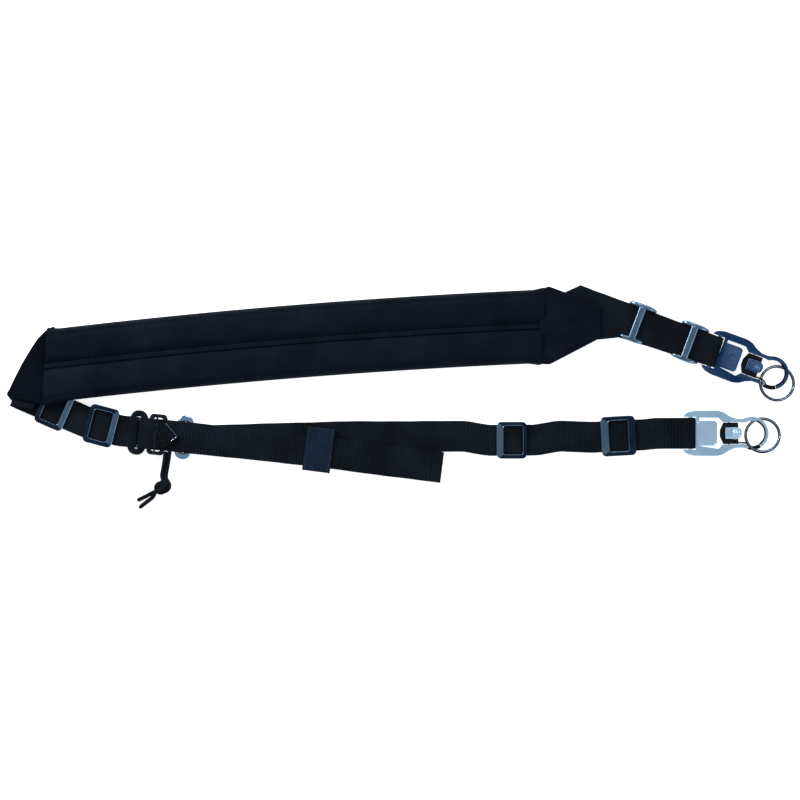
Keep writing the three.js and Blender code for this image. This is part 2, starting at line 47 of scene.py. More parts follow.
MM = 0.001
PLAN_SHIFT = np.array([1.08, 0.07])  # from the plan's origin to the row frame's
WEB_WIDTH = 30.0
WEB_THICK = 1.5
LAYER_PITCH = 1.8  # between the middles of two layers of webbing
LOOP_RADIUS = 3.05  # of the webbing's middle round a bar
HOOK_Z = 5.25  # middle height of the snap hooks
LINK_Z = 3.95  # and of the oval link
CORD_DIAMETER = 4.0
TACK_HALF = 13  # half the width of a row of stitches across the webbing
FACE_LIFT = 0.05  # stitches lie this far above the cloth


# ---- plan geometry ----
def row(points):
    """Plan points in mm, with or without a height, in the row frame."""
    points = np.array(points, float)
    points[..., :2] += PLAN_SHIFT
    return points


def at_height(line, z):
    """A flat line's points with one height."""
    return np.column_stack([line, np.full(len(line), z)])


def unit(v):
    return v / np.linalg.norm(v)


def distances(points):
    """Distance along a polyline at each of its points."""
    return np.concatenate([[0], np.cumsum(np.linalg.norm(np.diff(points, axis=0), axis=1))])


def around(outline):
    """Distance round a closed outline at each of its points, and once more back at the first."""
    return distances(np.vstack([outline, outline[:1]]))


def circle(count, turned=0.0):
    """Cosines and sines of angles evenly spaced round a circle."""
    a = np.linspace(0, 2 * np.pi, count, endpoint=False) + turned
    return np.cos(a), np.sin(a)


def squared(values, power):
    """Cosines or sines pushed outwards, so that a circle becomes a rounded box."""
    return np.sign(values) * np.abs(values) ** power


def smoothstep(x, low, high):
    """0 below low, 1 above high and smooth between them."""
    t = np.clip((x - low) / (high - low), 0, 1)
    return t * t * (3 - 2 * t)


class Route:
    """The middle line of a strap lying flat: straight runs with a parabola at each corner."""

    def __init__(self, corners, radius=30.0, from_end=False):
        corners = [np.array(c, float) for c in corners]
        points = [corners[0]]
        for before, here, after in zip(corners, corners[1:], corners[2:]):
            back, ahead = unit(before - here), unit(after - here)
            turn = math.pi - math.acos(np.clip(back @ ahead, -1, 1))
            reach = radius * math.tan(turn / 2)
            start, end = here + back * reach, here + ahead * reach
            for t in np.linspace(0, 1, 25):
                points.append((1 - t) ** 2 * start + 2 * t * (1 - t) * here + t * t * end)
        points.append(corners[-1])
        self.points = np.array(points)
        self.s = distances(self.points)
        self.length = self.s[-1]
        self.offset = self.length if from_end else 0.0

    def _point(self, along):
        inside = np.clip(along, 0, self.length)
        at = np.array([np.interp(inside, self.s, self.points[:, k]) for k in (0, 1)]).T
        first, last = unit(self.points[1] - self.points[0]), unit(self.points[-1] - self.points[-2])
        return at + np.outer(np.minimum(along, 0), first) + np.outer(np.maximum(along - self.length, 0), last)

    def at(self, s):
        """Points and headings at distances s."""
        along = np.atleast_1d(np.asarray(s, float)) + self.offset
        ahead = self._point(along + 1.5) - self._point(along - 1.5)
        return self._point(along), ahead / np.linalg.norm(ahead, axis=1)[:, None]

    def distance_at_x(self, x):
        return float(np.interp(x, self.points[:, 0], self.s)) - self.offset


def resampled(points, pitch):
    """The polyline with points a pitch apart."""
    points = np.asarray(points, float)
    s = distances(points)
    count = max(2, int(round(s[-1] / pitch)) + 1)
    at = np.linspace(0, s[-1], count)
    return np.array([np.interp(at, s, points[:, k]) for k in range(points.shape[1])]).T


def spline(points, per_span=10):
    """A Catmull-Rom line through the points."""
    p = np.asarray(points, float)
    p = np.vstack([2 * p[0] - p[1], p, 2 * p[-1] - p[-2]])
    out = []
    for a, b, c, d in zip(p, p[1:], p[2:], p[3:]):
        for t in np.linspace(0, 1, per_span, endpoint=False):
            square, cube = 2 * a - 5 * b + 4 * c - d, 3 * b - a - 3 * c + d
            out.append(0.5 * (2 * b + (c - a) * t + square * t**2 + cube * t**3))
    return np.vstack([out, p[-2]])


def rounded_rect(along, across, radius, per_corner=10):
    """Outline points of a rounded rectangle, counter-clockwise, with the same count for every size."""
    per_side = 8
    points = []
    corners = [(1, 1, 0), (-1, 1, 90), (-1, -1, 180), (1, -1, 270)]
    for k, (sx, sy, start) in enumerate(corners):
        centre = np.array([sx * (along / 2 - radius), sy * (across / 2 - radius)])
        for i in range(per_corner + 1):
            a = math.radians(start + 90 * i / per_corner)
            points.append(centre + radius * np.array([math.cos(a), math.sin(a)]))
        last = points[-1]
        nx, ny, after = corners[(k + 1) % 4]
        a = math.radians(after)
        target = np.array([nx * (along / 2 - radius), ny * (across / 2 - radius)])
        target = target + radius * np.array([math.cos(a), math.sin(a)])
        for i in range(1, per_side):
            points.append(last + (target - last) * i / per_side)
    return np.array(points)


# ---- meshes ----
def mesh_object(name, points, faces, material, uv=None):
    """A mesh from points in mm. uv holds one pair for each corner of each face, in mm."""
    mesh = bpy.data.meshes.new(name)
    mesh.from_pydata((np.asarray(points) * MM).tolist(), [], faces)
    if uv is not None:
        layer = mesh.uv_layers.new(name="cloth")
        layer.data.foreach_set("uv", np.asarray(uv, np.float32).ravel())
    mesh.shade_smooth()
    mesh.materials.append(material)
    obj = bpy.data.objects.new(name, mesh)
    scene.collection.objects.link(obj)
    return obj


def grid_faces(rows, columns, wrap_rows, wrap_columns):
    """Four-sided faces between the points of a grid, which may close on itself either way."""
    faces = []
    for i in range(rows if wrap_rows else rows - 1):
        for j in range(columns if wrap_columns else columns - 1):
            a, b = i * columns, ((i + 1) % rows) * columns
            k = (j + 1) % columns
            faces.append((a + j, a + k, b + k, b + j))
    return faces


def capped_faces(rows, columns):
    """Faces of a closed body through rings of points: its skin and its two caps."""
    last = (rows - 1) * columns
    caps = [tuple(range(columns - 1, -1, -1)), tuple(range(last, last + columns))]
    return grid_faces(rows, columns, False, True) + caps


def grid_uv(us, vs):
    """Corner pairs for grid_faces: us and vs are one longer than the grid where it wraps."""
    out = []
    for i in range(len(us) - 1):
        for j in range(len(vs) - 1):
            out += [(us[i], vs[j]), (us[i], vs[j + 1]), (us[i + 1], vs[j + 1]), (us[i + 1], vs[j])]
    return out


def loft(name, rings, us, vs, material):
    """A closed body through rings of equal count. vs has one value more than a ring has points."""
    rings = np.asarray(rings)
    n, m = rings.shape[:2]
    caps = [(us[0], vs[j]) for j in range(m - 1, -1, -1)] + [(us[-1], vs[j]) for j in range(m)]
    return mesh_object(name, rings.reshape(-1, 3), capped_faces(n, m), material, grid_uv(us, vs) + caps)


def torus_grid(name, grid, material, us=None, vs=None):
    """A body that closes both ways."""
    grid = np.asarray(grid)
    n, m = grid.shape[:2]
    uv = grid_uv(range(n + 1) if us is None else us, range(m + 1) if vs is None else vs)
    return mesh_object(name, grid.reshape(-1, 3), grid_faces(n, m, True, True), material, uv)


def tube_rings(line, radius, sides):
    """Rings of a round tube along a line, with a frame that doesn't twist."""
    line = np.asarray(line, float)
    tangent = np.gradient(line, axis=0)
    tangent /= np.linalg.norm(tangent, axis=1)[:, None]
    side = np.cross(tangent[0], [0.1, 0.2, 1.0])
    c, s = circle(sides)
    rings = []
    for at, t, r in zip(line, tangent, np.broadcast_to(radius, len(line))):
        side = unit(side - t * (side @ t))
        rings.append(at + r * (np.outer(c, side) + np.outer(s, np.cross(t, side))))
    return np.array(rings)


def closed_tube(line, radius, sides=10):
    """A tube round a closed line, as (points, faces)."""
    line = np.asarray(line, float)
    ahead = np.roll(line, -1, axis=0) - np.roll(line, 1, axis=0)
    ahead /= np.linalg.norm(ahead, axis=1)[:, None]
    side = np.cross(ahead, [0, 0, 1.0])
    side /= np.linalg.norm(side, axis=1)[:, None]
    c, s = circle(sides)
    sideways, upwards = c[:, None] * side[:, None], s[:, None] * np.array([0, 0, 1.0])
    rings = line[:, None] + radius * (sideways + upwards)
    return rings.reshape(-1, 3), grid_faces(len(line), sides, True, True)


def tube(name, line, radius, material, sides):
    """A round closed tube along a line."""
    girth = np.linspace(0, 2 * np.pi * np.max(radius), sides + 1)
    return loft(name, tube_rings(line, radius, sides), distances(line), girth, material)


def merged(name, bodies, material):
    """One mesh of many small closed bodies, each (points, faces)."""
    points, faces, first = [], [], 0
    for p, f in bodies:
        points.append(p)
        faces += [tuple(first + i for i in face) for face in f]
        first += len(p)
    return mesh_object(name, np.vstack(points), faces, material)


def one_stitch(start, end, radius):
    """A short flattened thread that dives into the cloth at both ends, as (points, faces)."""
    flattened = 0.75
    bow = np.array([-1.0, 0.35, 0.9, 0.9, 0.35, -1.0])
    fullness = np.array([0.35, 0.9, 1, 1, 0.9, 0.35])
    line = np.linspace(start, end, len(bow))
    line[:, 2] += bow * radius * 0.6
    rings = tube_rings(line, radius * fullness, 6)
    rings[..., 2] = line[:, None, 2] + (rings[..., 2] - line[:, None, 2]) * flattened
    return rings.reshape(-1, 3), capped_faces(len(bow), 6)


def place(obj, body, slot, *nodes):
    """The piece moves with its body and stands for the CAD nodes. The slot is not used."""
    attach(obj, body)
    if nodes:
        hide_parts(*nodes)
    return obj


def stitches(name, lines, body, pitch, radius, material=None):
    """Rows of stitches along lines of points in mm, in one mesh."""
    gap_share, wander = 0.13, 0.06
    threads = []
    for line in lines:
        points = resampled(line, pitch)
        for a, b in zip(points, points[1:]):
            gap = (b - a) * gap_share
            sway = RNG.normal(0, wander, 3) * [1, 1, 0.3]
            threads.append(one_stitch(a + gap + sway, b - gap + sway, radius))
    place(merged(name, threads, material or THREAD), body, "webbing_black")


# ---- materials ----
class Graph:
    """A Principled material under construction."""

    def __init__(self, name, roughness, metallic=0.0, specular=0.5):
        self.material = bpy.data.materials.new(name)
        self.material.use_nodes = True
        self.tree = self.material.node_tree
        self.shader = self.tree.nodes["Principled BSDF"]
        for socket, value in (("Roughness", roughness), ("Metallic", metallic), ("Specular IOR Level", specular)):
            self.shader.inputs[socket].default_value = value

    def put(self, socket, value):
        """Link a socket to the value, or set it."""
        if isinstance(value, bpy.types.NodeSocket):
            self.tree.links.new(value, socket)
        else:
            socket.default_value = value

    def math(self, operation, *values):
        node = self.tree.nodes.new("ShaderNodeMath")
        node.operation = operation
        for socket, value in zip(node.inputs, values):
            self.put(socket, value)
        return node.outputs[0]

    def cloth(self):
        """Distances along and across the cloth, in mm."""
        uv = self.tree.nodes.new("ShaderNodeUVMap")
        uv.uv_map = "cloth"
        split = self.tree.nodes.new("ShaderNodeSeparateXYZ")
        self.tree.links.new(uv.outputs[0], split.inputs[0])
        return split.outputs[0], split.outputs[1]

    def noise(self, scale, detail=3.0, stretch=(1, 1, 1)):
        where = self.tree.nodes.new("ShaderNodeTexCoord")
        mapping = self.tree.nodes.new("ShaderNodeMapping")
        mapping.inputs["Scale"].default_value = stretch
        self.tree.links.new(where.outputs["Object"], mapping.inputs["Vector"])
        node = self.tree.nodes.new("ShaderNodeTexNoise")
        node.inputs["Scale"].default_value = scale
        node.inputs["Detail"].default_value = detail
        self.tree.links.new(mapping.outputs[0], node.inputs["Vector"])
        return node.outputs["Fac"]

    def range(self, value, low, high, to_low=0.0, to_high=1.0):
        node = self.tree.nodes.new("ShaderNodeMapRange")
        for socket, v in zip(node.inputs, (value, low, high, to_low, to_high)):
            self.put(socket, v)
        return node.outputs[0]

    def mix(self, factor, a, b):
        node = self.tree.nodes.new("ShaderNodeMix")
        node.data_type = "RGBA"
        self.put(node.inputs["Factor"], factor)
        self.put(node.inputs[6], a)
        self.put(node.inputs[7], b)
        return node.outputs[2]

    def bump(self, height, depth, strength=1.0):
        node = self.tree.nodes.new("ShaderNodeBump")
        node.inputs["Strength"].default_value = strength
        node.inputs["Distance"].default_value = depth
        self.tree.links.new(height, node.inputs["Height"])
        self.tree.links.new(node.outputs[0], self.shader.inputs["Normal"])

    def wave(self, value):
        """0 to 1 and back, once for each whole step of value."""
        turned = self.math("COSINE", self.math("MULTIPLY", value, 2 * math.pi))
        return self.math("MULTIPLY_ADD", turned, 0.5, 0.5)


def colour(red, green, blue):
    """A colour as seen on a screen, from 0 to 255, in linear light."""
    seen = np.array([red, green, blue]) / 255
    return (*np.where(seen <= 0.04045, seen / 12.92, ((seen + 0.055) / 1.055) ** 2.4), 1.0)


def woven(name, dark, light, along, across, depth, twill=0.0, plain=0.0, ribs=0.0, rib_pitch=2.0, specular=0.1):
    """Cloth woven with yarn pitches in mm: twill leans the rows into chevrons, and plain staggers them."""
    roughness = 0.8
    g = Graph(name, roughness, specular=specular)
    u, v = g.cloth()
    wander = g.noise(260, 2)
    column = g.math("DIVIDE", v, across)
    rows = g.math("ADD", g.math("DIVIDE", u, along), g.math("MULTIPLY", wander, 0.5))
    if twill:
        rows = g.math("ADD", rows, g.math("MULTIPLY", g.math("PINGPONG", column, twill), 0.5))
    if plain:
        rows = g.math("ADD", rows, g.math("MULTIPLY", g.math("FLOOR", column), plain))
    over = g.wave(rows)
    yarn = g.math("ABSOLUTE", g.math("SINE", g.math("MULTIPLY", column, math.pi)))
    height = g.math("MULTIPLY_ADD", over, 0.6, g.math("MULTIPLY", yarn, 0.4))
    if ribs:
        rib = g.wave(g.math("DIVIDE", u, rib_pitch))
        height = g.math("MULTIPLY_ADD", rib, ribs, g.math("MULTIPLY", height, 1 - ribs))
    fuzz = g.noise(2400, 3)
    height = g.math("MULTIPLY_ADD", fuzz, 0.25, height)
    blotch = g.range(g.noise(28, 4), 0.35, 0.7, 0, 0.35)
    # The colour follows the weave's height: painted shade in the hollows between yarns, plus a random blotchy
    # tone.
    shade = g.math("ADD", g.math("MULTIPLY", height, 0.55), blotch)
    g.put(g.shader.inputs["Base Color"], g.mix(g.range(shade, 0.1, 0.95), colour(*dark), colour(*light)))
    g.put(g.shader.inputs["Roughness"], g.range(fuzz, 0.2, 0.8, roughness - 0.1, roughness + 0.1))
    g.bump(height, depth)
    return g.material


def metal(name, body, edge, roughness, metallic=1.0, brushed=(1, 1, 1)):
    """Coated metal, with a fine grain and a paler wear where edges are rubbed."""
    grain = 0.00002
    g = Graph(name, roughness, metallic=metallic)
    fine = g.noise(1500, 4, brushed)
    broad = g.noise(60, 3)
    geometry = g.tree.nodes.new("ShaderNodeNewGeometry")
    rubbed = g.range(geometry.outputs["Pointiness"], 0.53, 0.64)
    rubbed = g.math("MULTIPLY", rubbed, g.range(g.noise(400, 3), 0.3, 0.6, 0.4, 0.8))
    tone = g.range(broad, 0.3, 0.7, 0.0, 0.1)
    g.put(g.shader.inputs["Base Color"], g.mix(g.math("MAXIMUM", rubbed, tone), colour(*body), colour(*edge)))
    matt = g.math("MULTIPLY_ADD", broad, 0.5, g.math("MULTIPLY", fine, 0.5))
    g.put(g.shader.inputs["Roughness"], g.range(matt, 0.3, 0.7, roughness - 0.07, roughness + 0.1))
    g.bump(fine, grain, 0.6)
    return g.material


def plastic(name, body, edge):
    """Matt moulded plastic, a little paler where edges are rubbed."""
    roughness, grain = 0.45, 0.00004
    g = Graph(name, roughness, specular=0.09)
    fine = g.noise(1800, 3)
    geometry = g.tree.nodes.new("ShaderNodeNewGeometry")
    rubbed = g.range(geometry.outputs["Pointiness"], 0.51, 0.62)
    rubbed = g.math("MULTIPLY", rubbed, g.range(g.noise(300), 0.35, 0.65))
    g.put(g.shader.inputs["Base Color"], g.mix(rubbed, colour(*body), colour(*edge)))
    g.put(g.shader.inputs["Roughness"], g.range(fine, 0.3, 0.7, roughness - 0.08, roughness + 0.12))
    g.bump(fine, grain, 0.7)
    return g.material


WEBBING = woven("webbing_ribbed", (0, 1, 3), (26, 35, 44), 1.6, 1.25, 0.0005, plain=0.5, ribs=0.45,
                rib_pitch=3.1, specular=0.07)
WEBBING_TWILL = woven("webbing_twill", (1, 3, 6), (24, 32, 41), 3.2, 1.1, 0.00045, twill=2.0,
                      specular=0.08)
PAD_CLOTH = woven("pad_cloth", (4, 8, 14), (21, 30, 45), 0.95, 0.9, 0.0004, plain=0.5, ribs=0.42,
                  rib_pitch=2.1, specular=0.06)
NYLON = woven("gusset_cloth", (2, 5, 12), (24, 32, 49), 1.5, 1.5, 0.0004, plain=0.5, specular=0.06)
NYLON_DARK = woven("gusset_cloth_dark", (1, 3, 7), (16, 22, 33), 1.5, 1.5, 0.0004, plain=0.5,
                   specular=0.04)
MESH_CLOTH = woven("keeper_cloth", (4, 12, 23), (30, 50, 72), 1.7, 1.7, 0.0004, twill=1.0, specular=0.08)
CORD_SHEATH = woven("cord_sheath", (2, 4, 6), (24, 31, 38), 1.6, 1.05, 0.0003, twill=2.0, specular=0.08)
THREAD = woven("thread", (6, 9, 13), (28, 37, 48), 0.8, 0.4, 0.00005)
KEEPER_THREAD = woven("keeper_thread", (30, 48, 70), (84, 108, 136), 0.8, 0.4, 0.00005, specular=0.2)
# The glides' one metal comes as a pale lit copy and a dark copy that is painted shade.
GLIDE_STEEL = metal("glide_steel", (96, 124, 150), (180, 202, 220), 0.27)
GLIDE_SHADED = metal("glide_shaded_blue", (30, 46, 68), (84, 110, 140), 0.3)
BLACK_STEEL = metal("black_steel", (20, 26, 34), (110, 130, 150), 0.32, metallic=0.9)
CHROME = metal("bright_ring", (150, 180, 215), (235, 242, 250), 0.14)
HOOK_STEEL_B = metal("hook_pale_blue", (194, 230, 255), (228, 243, 255), 0.36)
HOOK_STEEL_A = metal("hook_steel_blue", (26, 62, 108), (130, 164, 206), 0.32)
RING_STEEL = metal("ring_steel", (30, 34, 40), (150, 158, 168), 0.2, brushed=(1, 1, 6))
BLACK_PLASTIC = plastic("black_plastic", (2, 4, 6), (30, 36, 43))


# ---- camera, light and floor, in metres ----
VIEW_WIDTH = 0.7744
CAMERA_AT = (-0.0004, -0.0154, 2.8)  # straight above, as in the photograph
FLOOR_WIDTH = 24
WHITE = (1, 1, 1, 1)
LAMPS = (  # name, place, size, power in watts, tint
    ("key", (-0.95, 0.75, 0.62), 0.35, 14, (1, 0.99, 0.97)),
    ("fill", (1.0, -0.6, 0.8), 0.7, 4, (0.93, 0.97, 1)),
    ("back", (0.3, 1.35, 1.25), 0.8, 9, (1, 1, 1)),
)


def make_stage():
    camera = bpy.data.objects.new("camera", bpy.data.cameras.new("camera"))
    camera.data.type = "ORTHO"
    camera.data.ortho_scale = VIEW_WIDTH
    camera.location = CAMERA_AT
    scene.collection.objects.link(camera)
    scene.camera = camera

    world = bpy.data.worlds.new("studio")
    world.use_nodes = True
    background = world.node_tree.nodes["Background"]
    background.inputs["Color"].default_value = (0.86, 0.93, 1.0, 1)
    background.inputs["Strength"].default_value = 0.42
    scene.world = world
    scene.view_settings.view_transform = "Standard"

    for name, at, size, power, tint in LAMPS:
        data = bpy.data.lights.new(name, "AREA")
        data.size = size
        data.energy = power
        data.color = tint
        obj = bpy.data.objects.new(name, data)
        obj.location = at
        obj.rotation_euler = (-Vector(at)).to_track_quat("-Z", "Y").to_euler()
        scene.collection.objects.link(obj)

    g = Graph("backdrop_paper", 0.9, specular=0.1)
    g.put(g.shader.inputs["Base Color"], g.mix(g.noise(30), (0.93, 0.94, 0.95, 1), (0.97, 0.97, 0.97, 1)))
    g.shader.inputs["Emission Color"].default_value = WHITE
    g.shader.inputs["Emission Strength"].default_value = 0.75
    bpy.ops.mesh.primitive_plane_add(size=FLOOR_WIDTH, location=(0, 0, -0.0004))
    floor = bpy.context.object
    floor.name = "backdrop"
    floor.data.materials.append(g.material)


make_stage()


# ---- the pull cord: two strands through one overhand knot ----
STRAND = [(-224.6, -65.5, 10.2), (-225, -69.9, 8.4), (-225.8, -75.6, 4.9), (-227, -82.4, 2.8),
          (-228.2, -89.5, 2.6)]
STRAND_GAP = np.array([-3.95, -0.4, 0])  # from the first strand to the second
KNOT_AT = np.array([-231.4, -99.2, 4.9])
KNOT_TURNS = [
    (2.8, 5.2, -0.6), (5.8, 1.2, 0.8), (3.8, -4.2, 1.2), (-1.8, -5.8, -0.2), (-5.4, -1.8, -1.0),
    (-3.6, 3.2, 0.4), (0.8, 4.2, 2.6), (1.8, 0.4, 3.8), (-1.2, -2.8, 3.2), (-5.6, -4.4, 0.8),
]
KNOT_APART = np.array([1.4, 0.6, 1.0])  # from the knot's middle line to each of the two strands
CORD_ENDS = (
    [(-241.0, -105.2, 3.0), (-245.4, -107.6, 2.3), (-250.6, -110.2, 2.1), (-256, -112.8, 2.1)],
    [(-240.2, -109.2, 2.8), (-244.6, -112.6, 2.3), (-249.2, -116.2, 2.1), (-254.1, -120, 2.1)],
)


CORD_PITCH = 1.1
CORD_TIP = (0.98, 0.9, 0.62)  # how the melted ends taper


def make_pull_cord():
    strand = np.array(STRAND)
    turns = spline(KNOT_TURNS, 2)
    nodes = (("pull_strand_1", "pull_end_1", "pull_knot"), ("pull_strand_2", "pull_end_2"))
    for k, (end, stands_for) in enumerate(zip(CORD_ENDS, nodes)):
        knot = KNOT_AT + turns + (1, -1)[k] * KNOT_APART
        knot[:, 2] = np.maximum(knot[:, 2], CORD_DIAMETER / 2 + 0.1)
        line = spline(np.vstack([strand + STRAND_GAP * k, knot, end]), 5)
        line = resampled(line, CORD_PITCH)
        for _ in range(8):  # cord bends smoothly, so kinks are drawn out
            line[1:-1] = (line[:-2] + 2 * line[1:-1] + line[2:]) / 4
        line = row(resampled(line, CORD_PITCH))
        radius = np.full(len(line), CORD_DIAMETER / 2)
        radius[-3:] *= CORD_TIP
        cord = tube(f"pull_cord_{k + 1}", line, radius, CORD_SHEATH, 16)
        place(cord, "adjuster", "cord_black", *stands_for)


make_pull_cord()


# ---- flat webbing ----
def run(route, *points, step=2.0):
    """Stations of (route, distance, height) through points of (distance, height)."""
    out = []
    for start, end in zip(points, points[1:]):
        t = np.linspace(0, 1, max(1, math.ceil(abs(end[0] - start[0]) / step)) + 1)
        s = start[0] + (end[0] - start[0]) * t
        z = start[1] + (end[1] - start[1]) * smoothstep(t, 0, 1)
        out += [(route, a, b) for a, b in zip(s, z)]
    return out


def turn(route, s, z, sign, from_top):
    """The half turn of a strap round a bar: sign +1 where the bar is at the strap's far end."""
    steps = 14
    out = []
    for i in range(1, steps):
        a = math.pi * (i / steps - 0.5) * (-1 if from_top else 1)
        out.append((route, s + sign * LOOP_RADIUS * math.cos(a), z + LOOP_RADIUS * math.sin(a)))
    return out


def web_section(width, thick):
    """The section of webbing as (side, up): round edges, and a groove inside each selvedge."""
    h = thick / 2
    flat = width / 2 - h
    selvedge = flat - np.array([0, 0.9, 1.6, 2.2])
    sides = np.concatenate([selvedge, np.linspace(flat - 3.0, 3.0 - flat, 13), -selvedge[::-1]])
    ups = np.full(len(sides), h)
    ups[[2, -3]] -= 0.16
    ups[[1, 3, -2, -4]] -= 0.05
    a = np.radians([45, 90, 135])
    left = np.stack([-flat - h * np.sin(a), h * np.cos(a)], 1)
    top = np.stack([sides, ups], 1)
    return np.vstack([top, left, -top, -left])


def ribbon(name, stations, material, *nodes, width=WEB_WIDTH, thick=WEB_THICK, slant=0.0, least_x=-math.inf):
    """Webbing through stations of (route, distance, height). slant cuts its end, and least_x its left side."""
    kept = [stations[0]]
    for here in stations[1:]:
        if math.hypot(here[1] - kept[-1][1], here[2] - kept[-1][2]) > 0.05 or here[0] is not kept[-1][0]:
            kept.append(here)
    s = np.array([k[1] for k in kept])
    z = np.array([k[2] for k in kept])
    plan, ahead = np.zeros((len(kept), 2)), np.zeros((len(kept), 2))
    for i, (route, distance, _) in enumerate(kept):
        at, to = route.at(distance)
        plan[i], ahead[i] = at[0], to[0]
    for _ in range(3):
        ahead[1:-1] = (ahead[:-2] + 2 * ahead[1:-1] + ahead[2:]) / 4
    ahead /= np.linalg.norm(ahead, axis=1)[:, None]
    across = np.stack([-ahead[:, 1], ahead[:, 0]], 1)
    ds, dz = np.gradient(s), np.gradient(z)
    size = np.hypot(ds, dz)
    size[size == 0] = 1
    ds, dz = ds / size, dz / size
    section = web_section(width, thick)
    side, up = section[:, 0], section[:, 1]
    along = np.concatenate([[0], np.cumsum(np.hypot(np.diff(s), np.diff(z)))])
    lean = slant * smoothstep(along, along[-1] - 40, along[-1])
    sway = 0.12 * np.sin(along / 13.0) + 0.08 * np.sin(along / 5.1 + 1)
    shift = -dz[:, None] * up + lean[:, None] * side
    xy = plan[:, None] + shift[..., None] * ahead[:, None] + (side + sway[:, None])[..., None] * across[:, None]
    xy[..., 0] = np.maximum(xy[..., 0], least_x)
    rings = np.concatenate([xy, (z[:, None] + ds[:, None] * up)[..., None]], axis=2)
    place(loft(name, row(rings), along, around(section), material), "sling", "webbing_black", *nodes)


def on_route(route, distances, side, z):
    """Row-frame points on a strap, at a distance to its side and a height."""
    at, ahead = route.at(distances)
    across = np.stack([-ahead[:, 1], ahead[:, 0]], 1)
    xy = at + across * np.broadcast_to(side, len(at))[:, None]
    return row(np.column_stack([xy, np.broadcast_to(z, len(at))]))


def tack(route, s, half, z, points=8):
    """A row of stitches straight across a strap."""
    return on_route(route, np.full(points, s), np.linspace(-half, half, points), z)


def box_stitch(route, start, end, z):
    """A box with a cross in it."""
    half = WEB_WIDTH / 2 - 3.0
    s = np.linspace(start, end, 12)
    t = np.linspace(-half, half, 12)
    return [
        on_route(route, s, half, z), on_route(route, s, -half, z),
        tack(route, start, half, z, 12), tack(route, end, half, z, 12),
        on_route(route, s, t, z + 0.05), on_route(route, s, -t, z + 0.1),
    ]


HOOK_BAR_A = (303.0, 31.5)
HOOK_BAR_B = (279.8, -47.7)
LINE_A_START = (134, 94.35)
LINE_A = Route([LINE_A_START, HOOK_BAR_A], from_end=True)
STRAP_ROUTE_A = Route([(148, 53.4), (211.5, 60.4), HOOK_BAR_A], radius=20, from_end=True)
LINK_AT = np.array([-255.3, -46.9])
LINK_HEADING = math.radians(-6)
LINK_BAR = 6.25  # from the link's middle to the middle of its bars
PINCH = 10.0  # over this distance two layers part to go round a bar
HOOK_SLACK = 1.2  # the webbing lies against the far side of a hook's slot
LINK_SLACK = 2.5  # and stands off the bars of the oval link


def from_link(distance):
    """A plan point along the link's own axis."""
    return LINK_AT + distance * np.array([math.cos(LINK_HEADING), math.sin(LINK_HEADING)])


ROUTE_B = Route([(-373.5, -7.4), (-306, -36.5), from_link(-18), LINK_AT])
LOOP_AT = from_link(LINK_BAR)
TAIL = Route([LOOP_AT, (-96, -63.6), (39.4, -81)], radius=100)
MAIN = Route([LOOP_AT, (-183, -54.5), (-135, -53.2), (-59, -51), (62, -50.6), (84, -54.4), (130, -54.4),
              (152, -50.2), (186, -51.6), (233, -49.1), (246, -47.7), HOOK_BAR_B], radius=45)
TAIL_Z = 4.05  # middle height of the free tail
MAIN_LOW, MAIN_HIGH = 3.05, 4.85  # and of the main strap's two layers
STRAP_A_CUT = 143.4  # where the gusset's seam cuts strap A's free end


def make_strap_a():
    high, low = HOOK_Z + LAYER_PITCH / 2, HOOK_Z - LAYER_PITCH / 2
    ribbon("strap_a_webbing", [
        *run(STRAP_ROUTE_A, (-STRAP_ROUTE_A.length, high), (-PINCH, high)),
        *run(STRAP_ROUTE_A, (-PINCH, high), (0, HOOK_Z + LOOP_RADIUS), step=1),
        *turn(STRAP_ROUTE_A, HOOK_SLACK, HOOK_Z, 1, True),
        *run(LINE_A, (0, HOOK_Z - LOOP_RADIUS), (-PINCH, low), step=1),
        *run(LINE_A, (-PINCH, low), (-159, low)),
    ], WEBBING_TWILL, "strap_a", slant=1.0, least_x=STRAP_A_CUT)
    top = high + WEB_THICK / 2 + FACE_LIFT
    rows = [tack(STRAP_ROUTE_A, s, TACK_HALF, top) for s in (-105, -108.5)]
    stitches("strap_a_tacks", rows, "sling", 1.7, 0.28)


def make_strap_b():
    low, high = LINK_Z - LAYER_PITCH / 2, LINK_Z + LAYER_PITCH / 2
    end = ROUTE_B.length - LINK_BAR
    ribbon("strap_b_webbing", [
        *run(ROUTE_B, (0, low), (end - PINCH, low)),
        *run(ROUTE_B, (end - PINCH, low), (end, LINK_Z - LOOP_RADIUS), step=1),
        *turn(ROUTE_B, end + LINK_SLACK, LINK_Z, 1, False),
        *run(ROUTE_B, (end, LINK_Z + LOOP_RADIUS), (end - PINCH, high), step=1),
        *run(ROUTE_B, (end - PINCH, high), (0, high)),
    ], WEBBING, "strap_b")
    top = high + WEB_THICK / 2 + FACE_LIFT
    stitches("strap_b_tacks", box_stitch(ROUTE_B, 6, 17, top), "sling", 2.0, 0.28)


